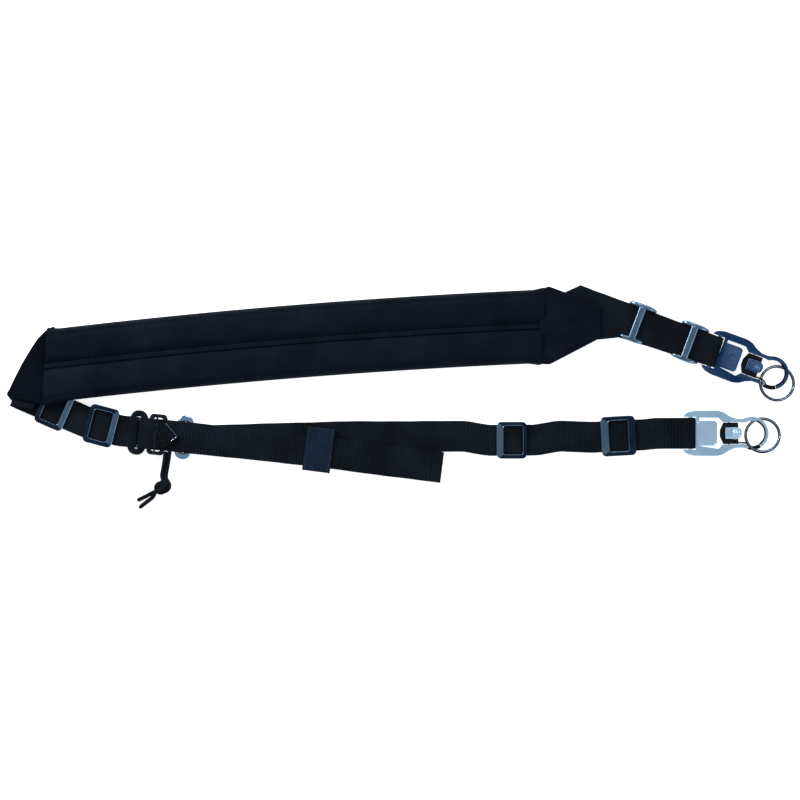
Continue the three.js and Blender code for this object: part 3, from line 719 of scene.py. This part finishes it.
def make_main_strap():
    lift = HOOK_Z - (MAIN_LOW + MAIN_HIGH) / 2
    low, high = MAIN_LOW + lift, MAIN_HIGH + lift
    bottom, top = LINK_Z - LOOP_RADIUS, LINK_Z + LOOP_RADIUS
    ramp_a, ramp_b, rise_a, rise_b, return_end = [MAIN.distance_at_x(x) for x in (46, 82, 240, 262, 84.6)]
    fold_a, fold_b = TAIL.distance_at_x(-122), TAIL.distance_at_x(-172)
    end = MAIN.length
    ribbon("main_strap_webbing", [
        *run(TAIL, (TAIL.length, TAIL_Z), (fold_a, TAIL_Z), (fold_b, top), (0, top)),
        *turn(TAIL, -LINK_SLACK, LINK_Z, -1, True),
        *run(MAIN, (0, bottom), (ramp_a, bottom), (ramp_b, MAIN_HIGH)),
        *run(MAIN, (ramp_b, MAIN_HIGH), (rise_a, MAIN_HIGH), (rise_b, high), (end - PINCH, high)),
        *run(MAIN, (end - PINCH, high), (end, HOOK_Z + LOOP_RADIUS), step=1),
        *turn(MAIN, end + HOOK_SLACK, HOOK_Z, 1, True),
        *run(MAIN, (end, HOOK_Z - LOOP_RADIUS), (end - PINCH, low), step=1),
        *run(MAIN, (end - PINCH, low), (rise_b, low), (rise_a, MAIN_LOW), (return_end, MAIN_LOW)),
    ], WEBBING, "main_strap")
    # The free end is folded over once and sewn, and the tail has a slanting seam and a tack by the adjuster.
    tail_end, hem_z, hem_length, hem_thick = TAIL.length, TAIL_Z + 1.5, 9.5, 1.3
    hem = run(TAIL, (tail_end - 0.2, hem_z), (tail_end - hem_length, hem_z - 0.05))
    ribbon("tail_hem", hem, WEBBING, width=WEB_WIDTH - 0.3, thick=hem_thick)
    rows = [tack(TAIL, tail_end - s, TACK_HALF, hem_z + hem_thick / 2 + FACE_LIFT) for s in (2.2, 5, 7.6)]
    seam_s = TAIL.distance_at_x(-39.5)
    above = WEB_THICK / 2 + FACE_LIFT
    seam = on_route(TAIL, np.linspace(seam_s + 7, seam_s, 12), np.linspace(14, -14, 12), TAIL_Z + above)
    fold = tack(TAIL, fold_b + 2, 13.5, top + 0.78, 10)
    stitches("tail_stitching", [*rows, seam, fold], "sling", 1.9, 0.28)


make_strap_a()
make_strap_b()
make_main_strap()


# ---- the pad ----
SEAM = np.array([(-345.7, 16.8), (-104.8, 45.8), (137.6, 55.9)])
PAD_ACROSS = np.array([0.06, 0.998])
PAD_FACE = [(35, 1.9), (35.1, 3.4), (34.6, 5.4), (33.2, 7.4), (31.8, 8.1), (30.9, 8.0), (29.8, 8.7),
            (26.5, 9.8), (22, 10.4), (16, 10.6), (11, 10.1), (7.4, 9.1), (4.6, 7.7), (3.2, 6.6), (2.4, 6.2)]
PAD_EDGE = [(34.3, 1.55), (34.9, 0.9), (34.4, 0.15), (0, 0.02), (-34.4, 0.15), (-34.9, 0.9), (-34.3, 1.55),
            (0, 1.6)]
PAD_TAPE = np.array([(2.5, 6.3), (2.35, 7.15), (1.3, 7.6), (0, 7.5), (-1.3, 7.6), (-2.35, 7.15), (-2.5, 6.3),
                     (0, 6.2)])
PAD_LIFT, LIFT_END, LIFT_START = 8.5, -312, -255  # the left end climbs over the straps between these two x
PAD_SIDE, HEM_SIDE, TAPE_SIDE = 35, 31.0, 1.5  # from the middle to the edge, its hem and the tape's stitches
HEM_HEIGHT, TAPE_HEIGHT = 8.25, 7.62
END_FLARE, FLARE_LENGTH = 0.055, 14


def pad_curve(count):
    """Evenly spaced points of the pad's middle seam, with their distances."""
    t = np.linspace(0, 1, 400)[:, None]
    fine = (1 - t) ** 2 * SEAM[0] + 2 * t * (1 - t) * SEAM[1] + t * t * SEAM[2]
    s = distances(fine)
    at = np.linspace(0, s[-1], count)
    return np.stack([np.interp(at, s, fine[:, k]) for k in (0, 1)], 1), at, s[-1]


PAD_MIDDLE, PAD_S, PAD_LENGTH = pad_curve(360)


def pad_point(s, side, z):
    """Points on the pad, by distance along its seam, distance to the side and height above its base."""
    s, side, z = np.broadcast_arrays(np.asarray(s, float), side, z)
    x, y = (np.interp(s, PAD_S, PAD_MIDDLE[:, k]) for k in (0, 1))
    flare = 1 + END_FLARE * (1 - smoothstep(np.minimum(s, PAD_LENGTH - s), 0, FLARE_LENGTH))
    lift = PAD_LIFT * (1 - smoothstep(x, LIFT_END, LIFT_START))
    return row(np.stack([x + PAD_ACROSS[0] * side * flare, y + PAD_ACROSS[1] * side * flare, z + lift], -1))


def pad_ripple(s, side):
    """How far the face sinks at its seams and swells between them."""
    near_middle = np.exp(-((np.abs(side) - 5.0) / 2.6) ** 2)
    near_hem = np.exp(-((np.abs(side) - HEM_SIDE) / 1.8) ** 2)
    pucker = 0.5 + 0.5 * np.sin(2 * np.pi * s / 5.6 + 1.4 * np.sin(s / 19) + np.sign(side))
    swell = 0.34 * np.sin(s / 17.0 + side / 14) + 0.26 * np.sin(s / 7.7 - side / 9 + 1.3)
    body = np.clip(1 - (np.abs(side) / PAD_SIDE) ** 6, 0, 1) * np.clip(np.abs(side) / 8, 0, 1)
    return swell * body - 0.55 * pucker * near_middle - 0.4 * pucker * near_hem


def make_pad():
    half = resampled(spline(PAD_FACE, 8), 0.9)
    top = np.vstack([half, np.column_stack([[1.2, 0, -1.2], [6.15, 6.15, 6.15]]), half[::-1] * [-1, 1]])
    base = np.column_stack([np.linspace(-34, 34, 24), np.full(24, 1.75)])
    section = np.vstack([top, base])
    s = np.linspace(0, PAD_LENGTH, 330)
    ripple = np.where(np.arange(len(section)) < len(top), pad_ripple(s[:, None], section[:, 0]), 0)
    height = section[:, 1] + ripple
    face = loft("pad_cushion", pad_point(s[:, None], section[:, 0], height), s, around(section), PAD_CLOTH)
    place(face, "sling", "pad_fabric", "pad_face_fabric", "pad_foam_upper", "pad_foam_lower")

    section = resampled(PAD_EDGE + PAD_EDGE[:1], 2.0)[:-1]
    rings = pad_point(s[:, None], section[:, 0], section[:, 1])
    under = loft("pad_underside", rings, s, around(section), MESH_CLOTH)
    place(under, "sling", "pad_fabric", "pad_back_panel")

    for name, sign in (("pad_piping_upper", 1), ("pad_piping_lower", -1)):
        line = pad_point(np.linspace(1, PAD_LENGTH - 1, 200), sign * 34.7, 1.75)
        place(tube(name, line, 1.15, CORD_SHEATH, 10), "sling", "pad_fabric")

    # The tape over the middle seam, sewn down along both edges.
    height = PAD_TAPE[:, 1] + 0.1 * np.sin(s[:, None] / 3.1)
    rings = pad_point(s[:, None], PAD_TAPE[:, 0], height)
    place(loft("pad_middle_tape", rings, s, np.arange(9) * 1.3, PAD_CLOTH), "sling", "pad_fabric")

    s = np.linspace(3, PAD_LENGTH - 3, 240)
    lines = [pad_point(s, side, TAPE_HEIGHT) for side in (-TAPE_SIDE, TAPE_SIDE)]
    lines += [pad_point(s, side, HEM_HEIGHT + pad_ripple(s, side)) for side in (-HEM_SIDE, HEM_SIDE)]
    stitches("pad_stitching", lines, "sling", 3.3, 0.32)


make_pad()


# ---- gussets ----
GUSSET_LEFT = [(-335.5, 56.5), (-343.6, 52.6), (-351.9, 44.5), (-359, 33.9), (-367.2, 20.3), (-375.1, 4.8),
               (-380.9, -7.7), (-373.2, -14.5), (-344.8, -20.3)]
CORNER_STRAP = [(-382.8, -9.9), (-374, -20.8), (-358, -24.5), (-346.7, -10), (-342.6, 53)]
GUSSET_RIGHT = [(131.9, 19.6), (143.3, 18.8), (192.5, 44.5), (192.5, 76.2), (180.4, 77.4), (166.6, 86.2),
                (156.2, 89.6), (141.8, 94.9), (136.2, 91.6)]


def closed_outline(corners, pitch=1.6):
    """Evenly spaced points round the corners, which are softened a little."""
    points = resampled(np.array([*corners, corners[0]], float), pitch)[:-1]
    for _ in range(2):
        points = (np.roll(points, 1, axis=0) + 2 * points + np.roll(points, -1, axis=0)) / 4
    return points


def area_of(points):
    """Area inside a closed outline, positive when it runs counter-clockwise."""
    x, y = points.T
    return 0.5 * np.sum(x * np.roll(y, -1) - y * np.roll(x, -1))


def inset(points, distance):
    """The outline moved inwards."""
    ahead = np.roll(points, -2, axis=0) - np.roll(points, 2, axis=0)
    normal = np.stack([-ahead[:, 1], ahead[:, 0]], 1)
    normal /= np.linalg.norm(normal, axis=1)[:, None]
    return points + normal * distance * np.sign(area_of(points))


CLOTH_EDGE = ((0, 0), (0.2, 0.6), (0.6, 0.88), (1.2, 1.0), (2.2, 0.86), (3.4, 1.0))  # inset, share of thickness


def cloth_plate(name, corners, low, high, material, node, slot="gusset_fabric", swell=0.35):
    """Cloth cut to an outline: soft edges, a sunk line inside them and a gentle swell."""
    edge = closed_outline(corners)
    centre = edge.mean(axis=0)
    middle, half = (low + high) / 2, (high - low) / 2
    rings = [inset(edge, distance) for distance, _ in CLOTH_EDGE]
    ups = [share for _, share in CLOTH_EDGE]
    for k in (0.86, 0.72, 0.56, 0.4, 0.24, 0.1):
        rings.append(centre + (rings[len(CLOTH_EDGE) - 1] - centre) * k)
        ups.append(1.0)
    body = []
    for sign in (-1, 1):
        side = []
        for ring, k in zip(rings, ups):
            wave = swell * (np.sin(ring[:, 0] / 6.3 + ring[:, 1] / 9) + 0.6 * np.sin(ring[:, 1] / 4.4 + 2))
            side.append(np.column_stack([ring, middle + sign * half * k + wave * k * 0.5]))
        body.append(side)
    grid = np.array([*body[0][::-1], *body[1][1:]])
    faces = capped_faces(*grid.shape[:2])
    flat = grid.reshape(-1, 3)
    uv = [flat[i, :2] for face in faces for i in face]
    obj = place(mesh_object(name, row(flat), faces, material, uv), "sling", slot, node)
    return edge


def make_gussets():
    left = cloth_plate("gusset_left_cloth", GUSSET_LEFT, 10.3, 12.3, NYLON_DARK, "gusset_left")
    cloth_plate("corner_strap_webbing", CORNER_STRAP, 8.5, 10.0, WEBBING_TWILL, "corner_strap",
                "webbing_black", 0.1)
    right = cloth_plate("gusset_right_cloth", GUSSET_RIGHT, 7.2, 9.2, NYLON, "gusset_right")
    rows = [at_height(inset(edge, d), z) for edge, z in ((left, 12.45), (right, 9.35)) for d in (2.4, 5.2)]
    x = np.linspace(146, 190, 20)
    rows += [at_height(np.column_stack([x, np.full(20, y)]), 9.4) for y in (62.0, 65.0)]
    stitches("gusset_stitching", [row(r) for r in rows], "sling", 2.8, 0.32)


make_gussets()


# ---- tri-glides, link, ring and keeper ----
def heading_of(route, s):
    """The plan point at distance s of a route, and the route's heading there in radians."""
    at, ahead = route.at(s)
    return at[0], math.atan2(ahead[0, 1], ahead[0, 0])


def placed(points, at, heading):
    """Local points (along, across, height) in the row frame, at a place in the plan and turned to a heading."""
    points = np.asarray(points, float)
    c, s = math.cos(heading), math.sin(heading)
    out = points.copy()
    out[..., 0] = at[0] + c * points[..., 0] - s * points[..., 1]
    out[..., 1] = at[1] + s * points[..., 0] + c * points[..., 1]
    return row(out)


SIDES = 16  # points round the section of a frame or a cheek


def frame_grid(outer, hole, low, high, roundness=0.8):
    """A ring between two outlines, with a rounded section."""
    c, s = circle(SIDES, np.pi / SIDES)
    share = 0.5 + 0.5 * squared(c, roundness)
    z = (low + high) / 2 + (high - low) / 2 * squared(s, roundness)
    xy = hole[:, None] + (outer - hole)[:, None] * share[None, :, None]
    return np.concatenate([xy, np.broadcast_to(z[None, :, None], (len(outer), SIDES, 1))], axis=2)


def wire_u(half, top, low):
    """A wire that goes down beside the strap, under it and up again."""
    corner = 2.2
    points = [(0, half, top), (0, half, low + corner), (0, half - 0.6, low + 0.7), (0, half - corner, low),
              (0, 0, low), (0, corner - half, low), (0, 0.6 - half, low + 0.7), (0, -half, low + corner),
              (0, -half, top)]
    return spline(points, 6)


def frame_glide(name, body, node, route, x, along, across, window, window_shift, bright):
    """A frame painted dark as shade over the webbing, with its middle bar under it. The frame's bar on the bright
    side gets the pale metal: a painted highlight.
    """
    at, heading = heading_of(route, route.distance_at_x(x))
    outer = rounded_rect(along, across, 4.6)
    hole = rounded_rect(*window, 2.2) + [window_shift, 0]
    grid = frame_grid(outer, hole, 5.95, 8.1, 0.55)
    ring = torus_grid(name + "_frame", placed(grid, at, heading), GLIDE_SHADED)
    ring.data.materials.append(GLIDE_STEEL)
    middle = (outer + hole) / 2
    # Faces of the frame's bar on the bright side take the pale metal: a painted highlight.
    on_lit_bar = (middle[:, 0] * bright > window[0] / 2) & (np.abs(middle[:, 1]) < window[1] / 2 + 1.0)
    for face in ring.data.polygons:
        face.material_index = int(on_lit_bar[face.index // SIDES])
    place(ring, body, "glide_metal", node)
    # A thin tube of the pale metal round the window: a painted highlight along the window's edge.
    highlight_line = placed(at_height(inset(hole, -0.35), 7.85), at, heading)
    place(merged(name + "_edge_highlight", [closed_tube(highlight_line, 0.34, 8)], GLIDE_STEEL), body, "glide_metal")
    wire = placed(wire_u((across + window[1]) / 4 + 0.2, 6.9, 1.05), at, heading)
    place(tube(name + "_bar", wire, 1.0, GLIDE_SHADED, 12), body, "glide_metal")


def bent_glide(name, body, node, s):
    """A glide whose wide middle bar lies over the webbing, between two lens-shaped cheeks."""
    at, heading = heading_of(LINE_A, s)

    def closed(rings):
        return placed(np.array(rings).reshape(-1, 3), at, heading), capped_faces(len(rings), len(rings[0]))

    half_length, foot = 14.4, 0.25
    c, h = circle(SIDES, np.pi / SIDES)
    cheeks = []
    for side in (-1, 1):
        rings = []
        for k in np.linspace(-1, 1, 29):
            swell = math.sqrt(max(1 - abs(k) ** 2.4, 0.0))
            middle, wide, high = side * (15.9 + 1.0 * swell), 0.7 + 1.75 * swell, 2.6 + 6.9 * swell ** 1.3
            y = middle + wide * squared(c, 0.7)
            z = (foot + high) / 2 + (high - foot) / 2 * squared(h, 0.7)
            rings.append(np.column_stack([np.full(SIDES, half_length * k), y, z]))
        cheeks.append(closed(rings))
    place(merged(name + "_cheeks", cheeks, GLIDE_STEEL), body, "glide_metal", node)

    c, h = circle(14)
    bars = []
    for x, z, wide, tall in ((0, 8.75, 3.4, 0.95), (-12.6, 1.4, 1.3, 1.2), (12.6, 1.4, 1.3, 1.2)):
        bars.append(closed([np.column_stack([x + wide * c, np.full(14, y), z + tall * h])
                            for y in np.linspace(-16.4, 16.4, 24)]))
    place(merged(name + "_bars", bars, GLIDE_STEEL), body, "glide_metal")


FRAME_GLIDES = {  # strap, x, length, width, (window's length, width), window's shift, end painted bright as the lit side
    "b1": (ROUTE_B, -335.9, 29, 38, (18.6, 29), -0.6, 1),
    "b2": (ROUTE_B, -290.9, 29, 38, (18.6, 29), -0.6, 1),
    "c1": (MAIN, 106.7, 29.4, 35.7, (18.9, 27.8), 1.4, -1),
    "c2": (MAIN, 209.9, 33.7, 38.5, (18.9, 30), 0.3, -1),
}
BENT_GLIDES = {"a1": -79.6, "a2": -25.6}  # distance along strap A


def make_glides():
    for key, sizes in FRAME_GLIDES.items():
        frame_glide(f"triglide_{key}", f"glide_{key}", f"triglide_{key}", *sizes)
    for key, s in BENT_GLIDES.items():
        bent_glide(f"triglide_{key}", f"glide_{key}", f"triglide_{key}", s)


ADJUSTER_X, RING_AHEAD, BELT_AHEAD = -236.7, 26.5, 13.2


def make_link_and_ring():
    """The oval link, and the adjuster's bright ring with the belt that ties it."""
    low, high = LINK_Z - 1.5, LINK_Z + 1.5
    grid = frame_grid(rounded_rect(17.5, 43.5, 8.2), rounded_rect(7.6, 31.0, 3.6), low, high)
    link = torus_grid("oval_link_ring", placed(grid, LINK_AT, LINK_HEADING), BLACK_STEEL)
    place(link, "sling", "black_metal", "oval_link")
    at, heading = heading_of(TAIL, TAIL.distance_at_x(ADJUSTER_X))
    grid = frame_grid(rounded_rect(16.5, 43, 8.0), rounded_rect(8.0, 30.4, 3.9), low, high)
    grid[..., 0] += RING_AHEAD
    ring = torus_grid("adjuster_bright_ring", placed(grid, at, heading), CHROME)
    place(ring, "adjuster", "chrome_metal", "adjuster_ring")
    outer, inner = rounded_rect(19.2, 4.3, 2.1), rounded_rect(18.2, 3.3, 1.6)
    crown = outer * 1.01
    loop = []
    for side, ring in zip((-13, -12.6, 12.6, 13, 13, -13), (outer, crown, crown, outer, inner, inner)):
        loop.append(np.column_stack([ring[:, 0] + BELT_AHEAD, np.full(len(ring), side), ring[:, 1] + LINK_Z]))
    belt = torus_grid("adjuster_tie", placed(np.array(loop), at, heading), WEBBING)
    place(belt, "adjuster", "webbing_black", "adjuster_belt")


def make_keeper():
    """A woven sleeve: a rounded tube open at both ends, with rolled rims and two bands of stitching."""
    at, heading = heading_of(TAIL, TAIL.distance_at_x(-80.5))
    outer, inner = rounded_rect(42.7, 4.5, 2.0), rounded_rect(40.3, 2.1, 0.9)
    rim = np.array([11.8, 12.5, 13.3, 13.5])
    stations = np.concatenate([-rim[::-1], np.linspace(-10, 10, 21), rim])
    grow = np.interp(np.abs(stations), [0, 11.8, 12.5, 13.3, 13.5], [1.0, 1.0, 1.06, 1.05, 0.97])
    loop = []
    for x, k in zip(stations, grow):
        ring = outer * [1 + (k - 1) * 0.2, k]
        sag = 0.1 * np.sin(ring[:, 0] / 4.5 + x / 3)
        loop.append(np.column_stack([np.full(len(ring), x), ring[:, 0] + 2, ring[:, 1] + sag + TAIL_Z]))
    for x in (12.9, 0, -12.9):
        loop.append(np.column_stack([np.full(len(inner), x), inner[:, 0] + 2, inner[:, 1] + TAIL_Z]))
    grid = np.array(loop)
    along = np.concatenate([stations, [26.5, 40, 53, 54]])
    sleeve = torus_grid("keeper_sleeve", placed(grid, at, heading), MESH_CLOTH, along, around(outer))
    place(sleeve, "strap_keeper", "keeper_fabric", "keeper")
    rows = []
    for x in (-11.2, 11.2):
        line = np.column_stack([np.full(16, x), np.linspace(-17, 21, 16), np.full(16, TAIL_Z + 2.35)])
        rows.append(placed(line, at, heading))
    stitches("keeper_stitching", rows, "strap_keeper", 2.2, 0.26, KEEPER_THREAD)


make_glides()
make_link_and_ring()
make_keeper()


# ---- snap hooks and split rings ----
HEADING_A = math.atan2(HOOK_BAR_A[1] - LINE_A_START[1], HOOK_BAR_A[0] - LINE_A_START[0])
HOOKS = {  # crossbar's place, heading, metal
    "a": (HOOK_BAR_A, HEADING_A, HOOK_STEEL_A),
    "b": (HOOK_BAR_B, 0.0, HOOK_STEEL_B),
}
THUMB_TAB = [(33.6, -5), (44, -5.6), (48.6, -4), (49.6, -1), (49.6, 1.4), (48.6, 4.4), (44, 6), (33.6, 5.4)]
PLATE_TOP = HOOK_Z + 1.3
HUB_TOP = HOOK_Z + 2.65
TAB_TOP = HOOK_Z + 4.45


def finish_node(name, material, width=0.3):
    """A carried-over CAD node gets its material and softened edges."""
    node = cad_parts[name]
    for slot in node.material_slots:
        slot.material = material
    bevel = node.modifiers.new("edge", "BEVEL")
    bevel.width = width * MM
    bevel.segments = 3
    bevel.limit_method = "ANGLE"
    bevel.angle_limit = math.radians(35)
    bevel.harden_normals = True


def small_box(low, high):
    """A little body with chamfered top edges, as (points, faces)."""
    (x0, y0, z0), (x1, y1, z1) = low, high
    cut = min(x1 - x0, y1 - y0, z1 - z0) * 0.35

    def ring(d, z):
        return [(x0 + d, y0 + d, z), (x1 - d, y0 + d, z), (x1 - d, y1 - d, z), (x0 + d, y1 - d, z)]

    points = np.array(ring(0, z0) + ring(0, z1 - cut) + ring(cut, z1))
    faces = [(3, 2, 1, 0), (8, 9, 10, 11)]
    for base in (0, 4):
        faces += [(base + k, base + (k + 1) % 4, base + 4 + (k + 1) % 4, base + 4 + k) for k in range(4)]
    return points, faces


def split_ring(letter):
    """Two close turns of spring wire, with a short step between them."""
    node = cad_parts[f"split_ring_{letter}"]
    points = np.array([v.co for v in node.data.vertices]) / MM
    centre = (points.max(axis=0) + points.min(axis=0)) / 2
    normal = np.linalg.svd(points - points.mean(axis=0))[2][2]
    normal *= np.sign(normal[2])
    start = unit(np.cross(normal, [0.2, 1.0, 0]))
    other = np.cross(normal, start)
    turn_at = np.radians(np.arange(8, 713, 2.0))
    climb = 0.62 * (2 * smoothstep(np.degrees(turn_at), 350, 370) - 1)
    middle, wide, tall = 16.4, 1.4, 0.6
    c, s = circle(14)
    out, up = wide * squared(c, 0.6), tall * squared(s, 0.6)
    rings = []
    for t, z in zip(turn_at, climb):
        outwards = math.cos(t) * start + math.sin(t) * other
        rings.append(centre + (middle + out)[:, None] * outwards + (z + up)[:, None] * normal)
    coil = loft(f"split_ring_{letter}_coil", rings, turn_at * middle, np.linspace(0, 7, 15), RING_STEEL)
    place(coil, f"ring_{letter}", "ring_steel", f"split_ring_{letter}")
    # A thin bright tube along the wire's crown: a painted highlight.
    crown = [centre + middle * (math.cos(t) * start + math.sin(t) * other) + (z + tall) * normal
             for t, z in zip(turn_at, climb) if t > 2 * math.pi]
    place(tube(f"split_ring_{letter}_crown", crown, 0.3, CHROME, 8), f"ring_{letter}", "ring_steel")


def make_hook(letter):
    bar, heading, coating = HOOKS[letter]
    hook, gate, coating_slot = f"hook_{letter}", f"gate_{letter}", f"hook_metal_{letter}"
    finish_node(f"{hook}_frame", coating)
    finish_node(f"{gate}_lever", BLACK_PLASTIC)
    finish_node(f"{gate}_thumb_tab", coating, 0.2)
    finish_node(f"{gate}_pin", RING_STEEL, 0.1)
    finish_node(f"{gate}_spring", RING_STEEL, 0.1)

    def add(name, bodies, body, material, slot):
        place(merged(name, [(placed(p, bar, heading), f) for p, f in bodies], material), body, slot)

    # The tongue's plate has a raised rim, and the thumb tab ends in a ribbed grip.
    rim = rounded_rect(18.6, 23.6, 3.4, 8) + [15.4, 0]
    add(f"{hook}_tongue_rim", [closed_tube(at_height(rim, PLATE_TOP), 0.42)], hook, coating, coating_slot)
    grip = []
    for k in range(6):
        x = 41.2 + 1.15 * k
        grip.append(small_box((x, -4.0 + 0.08 * k, TAB_TOP - 0.3), (x + 0.6, 4.4 - 0.1 * k, TAB_TOP + 0.35)))
    edge = closed_outline(THUMB_TAB, 0.8)
    trim = closed_tube(at_height(inset(edge, 0.9), TAB_TOP), 0.26, 8)
    add(f"{gate}_grip", [*grip, trim], gate, coating, coating_slot)
    ribs = []
    for k in range(7):
        x = 31.6 + 2.0 * k
        for y in (-7.5, 7.5):
            ribs.append(small_box((x, y - 1.9, HUB_TOP - 0.2), (x + 0.9, y + 1.9, HUB_TOP + 0.35)))
    add(f"{gate}_hub_ribs", ribs, gate, BLACK_PLASTIC, "black_plastic")
    # A black arc along the eye's inner edge: painted shade of the eye's inner wall.
    arc = np.radians(np.linspace(-56, 70, 40))
    shade_arc = at_height(np.column_stack([59.5 + 12.75 * np.cos(arc), 12.75 * np.sin(arc)]), HOOK_Z + 0.75)
    shade_tube = tube(f"{hook}_eye_painted_shade", placed(shade_arc, bar, heading), 0.95, BLACK_PLASTIC, 10)
    place(shade_tube, hook, "black_plastic")
    split_ring(letter)


for letter in HOOKS:
    make_hook(letter)
finish_node("adjuster_frame", BLACK_STEEL)
finish_node("pull_tab", BLACK_PLASTIC, 0.25)


def make_tab_trim():
    """A thin pale line set into the pull tab, a little inside its edge."""
    at, heading = heading_of(TAIL, TAIL.distance_at_x(ADJUSTER_X))
    chevron = spline([(7.1, 11.4), (12.7, 6.6), (17.9, 1.5), (18.9, 0), (17.9, -1.5), (13.5, -5.4)], 6)
    trim = tube("pull_tab_trim", placed(at_height(chevron, 10.8), at, heading), 0.24, CHROME, 8)
    place(trim, "release_tab", "black_plastic")


make_tab_trim()
